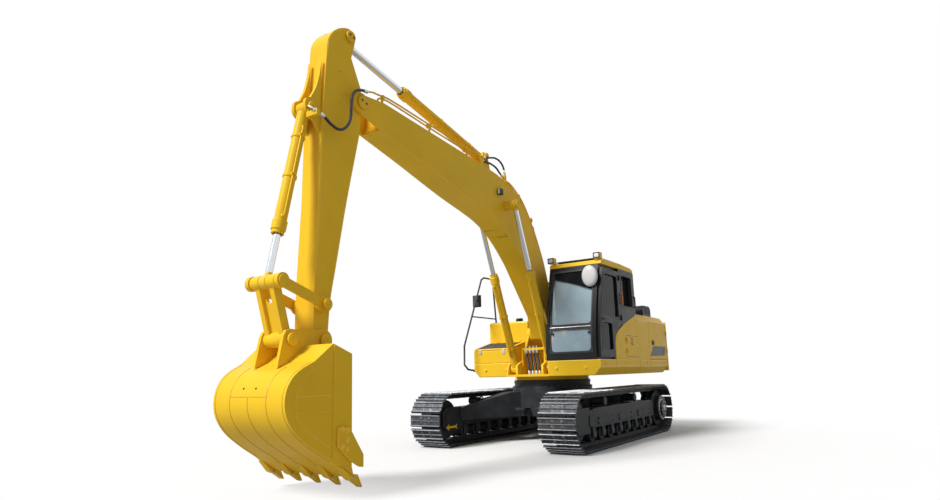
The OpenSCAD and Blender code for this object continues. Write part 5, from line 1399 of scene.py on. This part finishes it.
class EXCAVATOR_OT_front(bpy.types.Operator):
    """Adds pipes, clamps, weld beads and pin caps to the boom and the arm"""
    bl_idname = "excavator.front"
    bl_label = "Boom and arm fittings"

    def execute(self, context):
        self.boom_pipes()
        self.welds()
        self.pins()
        self.gussets()
        self.arm_pipes()
        return {"FINISHED"}

    def boom_pipes(self):
        """Two pipes on posts along the boom's top to the hose blocks, two down its back below them, and a lug."""
        front = [[(5.242, 0.26, 4.690), (5.17, 0.255, 4.712), (5.09, 0.225, 4.745), (4.98, 0.19, 4.772),
                  (4.88, 0.182, 4.783), (4.67, 0.182, 4.790), (3.85, 0.18, 4.722), (2.70, 0.18, 4.632),
                  (2.485, 0.18, 4.628)],
                 [(4.95, 0.170, 4.68), (4.93, 0.170, 4.735), (4.84, 0.170, 4.753), (4.67, 0.170, 4.758),
                  (3.85, 0.145, 4.700), (2.70, 0.145, 4.604), (2.485, 0.145, 4.594)]]
        line = [(1.73, 4.40), (1.60, 4.385), (1.43, 4.315), (1.18, 4.160), (0.95, 3.915), (0.70, 3.555), (0.45, 3.080),
                (0.20, 2.40)]
        back = [at_depth(line, y) for y in (0.145, 0.175)]
        pipes = [tube(spline(path, 60), 0.012, 10) for path in (*front, *back)]
        put("boom_pipes", join(*pipes), BOOM, "yellow", smooth=50)
        clamps = []
        for x in (4.86, 3.85, 2.90):
            top = np.interp(x, [2.70, 3.85, 4.67, 4.88], [4.632, 4.722, 4.79, 4.783])
            roof = np.interp(x, [2.35, 3.59, 4.84, 5.29], [4.475, 4.590, 4.70, 4.668])
            inner = np.interp(x, [3.85, 4.67], [0.125, 0.156])  # clear of the arm's tail at its limit
            clamps += [block((x - 0.020, inner, top - 0.040), (x + 0.020, 0.200, top + 0.018)),
                       block((x - 0.012, 0.160, roof - 0.004), (x + 0.012, 0.185, top - 0.035))]
        across, up = np.array(line[::-1]).T
        for x, way in ((1.30, (-0.5, 0, 0.85)), (0.82, (-0.80, 0, 0.60)), (0.34, (-0.80, 0, 0.60))):
            clamp = block((-0.030, -0.035, -0.060), (0.020, 0.035, 0.020))
            clamps.append(placed(clamp, (x, 0.16, np.interp(x, across, up)), way))
        put("boom_clamps", join(*clamps), BOOM, "yellow", 0.003)
        spot = (0.855, 0.16, 3.875)
        lug = join(placed(collar(box_of((0.018, -0.016), (0.046, 0.016)), 24), spot, ACROSS),
                   placed(block((-0.016, -0.016, -0.12), (0.016, 0.016, -0.030)), spot, (-0.83, 0, 0.55)))
        put("boom_lug", lug, BOOM, "yellow", 0.002)

    def welds(self):
        """Beads along the joints of the side plates with the flanges, and across the stiffened ends."""
        low = bowed([(4.12, 4.13), (3.20, 3.885), (2.52, 3.735), (2.20, 3.65), (1.93, 3.54), (1.65, 3.37), (1.31, 3.09),
                     (1.08, 2.845), (0.50, 2.19)]) + [-0.014, 0.016]
        top = bowed([(0.18, 2.319), (0.45, 3.021), (0.70, 3.496), (0.95, 3.858), (1.18, 4.105), (1.43, 4.262),
                     (1.87, 4.403), (2.35, 4.475), (3.59, 4.59)]) + [0.014, -0.016]
        beads = [tube(at_depth(line, 0.1905), 0.0055, 6) for line in (low, top)]
        put("boom_welds", mirrored(join(*beads)), BOOM, "yellow_edge", smooth=60)
        front = np.array([(5.93, 2.30), (5.89, 3.16), (5.88, 4.0)]) - [0.016, 0]
        rear = bowed([(5.25, 4.14), (5.45, 3.26), (5.61, 2.45), (5.69, 2.04), (5.722, 1.64)]) + [0.016, 0]
        seam = [(5.802, 4.674), (5.395, 4.384)]
        crown = bowed([(5.82, 4.99), (5.806, 5.17), (5.735, 5.315), (5.61, 5.43)]) - [0.014, 0.012]
        beads = [tube(at_depth(line, 0.1485), 0.005, 6) for line in (front, rear, seam, crown)]
        put("arm_welds", mirrored(join(*beads)), ARM, "yellow_edge", smooth=60)
        # the plug takes the seam finish, whose dark orange-brown is painted shade
        plug = lathe([(0.013, -0.002), (0.012, 0.003), (0.004, 0.004)], 14)
        put("arm_plug", mirrored(placed(plug, (5.60, 0.148, 4.85), ACROSS)), ARM, "seam")

    def pins(self):
        """Round caps on the pins' ends, with two keeper bolts on the large ones."""
        for name, (joint, body, depth, radius) in PIN_CAPS.items():
            cap = lathe([(radius, -0.006), (radius, 0.010), (radius - 0.006, 0.016), (radius * 0.72, 0.017),
                         (radius * 0.68, 0.022), (radius * 0.20, 0.023), (radius * 0.16, 0.030), (0.004, 0.031)], 36)
            spot = pin(joint, depth)
            put(name + "_caps", mirrored(placed(cap, spot, ACROSS)), body, "yellow", smooth=32)
            if radius > LARGE_PIN:
                heads = bolts([spot + [x, 0.022, 0.3 * x] for x in (-0.45 * radius, 0.45 * radius)], ACROSS, 0.020)
                put(name + "_keeper_bolts", mirrored(heads), body, "black_edge")
        rim = [(0.062, -0.006), (0.062, 0.008), (0.056, 0.014), (0.020, 0.016)]
        for name, joint, depth, body, tip in (
                ("boom_cylinder_eye_caps", "boom_rod_slide", 0.430, "boom_rods", [(0.016, 0.024), (0.004, 0.025)]),
                ("link_caps", "bucket_rod_slide", 0.259, "levers", [(0.004, 0.018)])):
            cap = placed(lathe(rim + tip), pin(joint, depth), ACROSS)
            put(name, mirrored(cap), body, "yellow", smooth=32)

    def gussets(self):
        """Hollow-curved cheeks round the foot of the bucket cylinder, and the full boss of the link."""
        sweep = spline([(5.868, 4.92), (5.895, 4.72), (5.945, 4.53), (6.02, 4.375)], 14)
        nose = rounded([(6.02, 4.375), (6.10, 4.34), (6.105, 4.20), (5.965, 4.10)], 0.06, 6, False)
        cheek = prism(np.concatenate([sweep, nose[1:], [(5.86, 3.96)]]), 0.073, 0.117)
        put("foot_cheeks", mirrored(cheek), ARM, "yellow", 0.006)
        boss = lathe([(0.080, -0.187), (0.083, -0.183), (0.083, 0.183), (0.080, 0.187)], 40)
        put("link_boss", placed(boss, pin("link_turn", 0), ACROSS), "link", "yellow", smooth=40)

    def arm_pipes(self):
        """A bent steel pipe with nuts from the hose's port to the bucket cylinder's lug."""
        path = spline([(6.045, 0.26, 4.15), (6.075, 0.25, 4.168), (6.10, 0.22, 4.19), (6.105, 0.18, 4.215),
                       (6.085, 0.14, 4.235), (6.06, 0.10, 4.25)], 30)
        put("arm_port_pipe", tube(path, 0.011, 10), ARM, "zinc", smooth=50)
        nuts = [placed(lathe([(0.022, -0.012), (0.022, 0.012), (0.016, 0.018)], 6), point, way)
                for point, way in (((6.068, 0.245, 4.164), (0.8, -0.3, 0.5)), ((5.99, 0.26, 4.132), (-0.96, 0, -0.27)))]
        put("arm_port_nuts", join(*nuts), ARM, "zinc", smooth=28)


class EXCAVATOR_OT_bucket(bpy.types.Operator):
    """Adds seams, side ribs, bolts and tooth pins to the bucket"""
    bl_idname = "excavator.bucket"
    bl_label = "Bucket fittings"

    def execute(self, context):
        self.back = bowed([(6.06, 0.37), (6.29, 0.51), (6.48, 0.655), (6.595, 0.81), (6.63, 0.97), (6.595, 1.125),
                           (6.49, 1.25), (6.30, 1.35)])
        self.seams()
        self.sides()
        self.teeth()
        return {"FINISHED"}

    def on_side(self, line, lift=0.0):
        """A line in X and Z as points on the bucket's left side, which closes in towards the back."""
        line = np.asarray(line, float)
        half_width, front, taper = 0.625, 5.83, 0.09375
        return at_depth(line, half_width + taper * (front - line[:, 0]) + lift)

    def seams(self):
        """Thin weld lines down the back, darkened with painted groove shade, a joint across it and two small dark discs
        of painted hole shade.
        """
        thick, thin = 0.0032, 0.0026
        full = np.concatenate([[(5.80, 0.192)], self.back])
        lines = [tube(at_depth(full[:-2], y), thick, 6) for y in (-0.28, 0.28)]
        lines.append(tube(at_depth(full[full[:, 1] < 1.03], 0.0), thick, 6))
        z = 1.02
        x = np.interp(z, self.back[:, 1], self.back[:, 0])
        lines.append(tube([(x, y, z) for y in (-0.28, 0.0, 0.28)], thin, 6))
        edge = self.on_side(self.back, -0.035)
        lines += [tube(edge * [1, side, 1], thick, 6) for side in (1, -1)]
        # the seam lines carry painted groove shade
        put("bucket_seams", join(*lines), BUCKET, "seam", smooth=60)
        z = 1.10
        x = np.interp(z, self.back[12:, 1], self.back[12:, 0])
        # painted shade: dark discs for the shade inside two small holes
        hole = lathe([(0.014, -0.004), (0.012, 0.0016), (0.004, 0.0018)], 20)
        holes = [placed(hole, (x, y, z), (0.97, 0, 0.25)) for y in (-0.095, 0.095)]
        put("bucket_hole_shades", join(*holes), BUCKET, "rubber")

    def sides(self):
        """A rounded rib and two straight ones on each side plate, and the bolts of the side cutters."""
        arc = spline([(6.068, 1.356), (6.18, 1.335), (6.292, 1.294), (6.431, 1.169), (6.503, 1.027), (6.488, 0.832),
                      (6.398, 0.709), (6.226, 0.589), (6.068, 0.49)], 50)
        straight = [[(x, z) for x in (6.07, 6.30, end)] for z, end in ((1.015, 6.50), (0.864, 6.49))]
        ribs = [tube(self.on_side(line), 0.0045, 6) for line in (arc, *straight)]
        put("bucket_ribs", mirrored(join(*ribs)), BUCKET, "yellow_edge", smooth=60)
        face = self.on_side([(5.977, 0.675), (5.918, 0.663), (5.912, 0.566), (5.973, 0.505), (5.915, 0.479)], 0.0385)
        put("cutter_bolts", mirrored(bolts(face, (0.0933, 0.9956, 0), 0.036)), BUCKET, "yellow_edge")

    def teeth(self):
        """A pin through each tooth and its adapter."""
        along, out = np.array([-0.825, -0.565]), np.array([0.565, -0.825])
        x, z = np.array([5.79, 0.185]) - 0.02 * along + 0.02 * out
        bar = lathe([(0.013, -0.052), (0.013, 0.052), (0.010, 0.055)], 12)
        spots = [(x, y, z) for y in (np.arange(5) - 2) * 0.30]
        put("tooth_pins", join(*[placed(bar, spot, ACROSS) for spot in spots]), BUCKET, "pin")


OPERATORS = (EXCAVATOR_OT_stage, EXCAVATOR_OT_hoses, EXCAVATOR_OT_forms, EXCAVATOR_OT_tracks,
             EXCAVATOR_OT_running_gear, EXCAVATOR_OT_cab, EXCAVATOR_OT_body, EXCAVATOR_OT_cylinders,
             EXCAVATOR_OT_front, EXCAVATOR_OT_bucket)


class EXCAVATOR_PT_panel(bpy.types.Panel):
    """Lists the steps that make the machine"""
    bl_idname = "EXCAVATOR_PT_panel"
    bl_label = "Excavator"
    bl_space_type = "VIEW_3D"
    bl_region_type = "UI"
    bl_category = "Excavator"

    def draw(self, context):
        for operator in OPERATORS:
            self.layout.operator(operator.bl_idname)


GROUPS = {"excavator_paint": PaintSettings, "excavator_fittings": FittingSettings, "excavator_stage": StageSettings}


def register():
    for group in GROUPS.values():
        bpy.utils.register_class(group)
    for name, group in GROUPS.items():
        setattr(bpy.types.Scene, name, PointerProperty(type=group))
    for operator in OPERATORS:
        bpy.utils.register_class(operator)
    bpy.utils.register_class(EXCAVATOR_PT_panel)


def unregister():
    bpy.utils.unregister_class(EXCAVATOR_PT_panel)
    for operator in reversed(OPERATORS):
        bpy.utils.unregister_class(operator)
    for name, group in GROUPS.items():
        delattr(bpy.types.Scene, name)
        bpy.utils.unregister_class(group)


def main():
    register()
    make_finishes(bpy.context.scene.excavator_paint)
    for operator in OPERATORS:
        group, step = operator.bl_idname.split(".")
        getattr(getattr(bpy.ops, group), step)()
    bpy.context.view_layer.update()


if __name__ == "__main__":
    main()
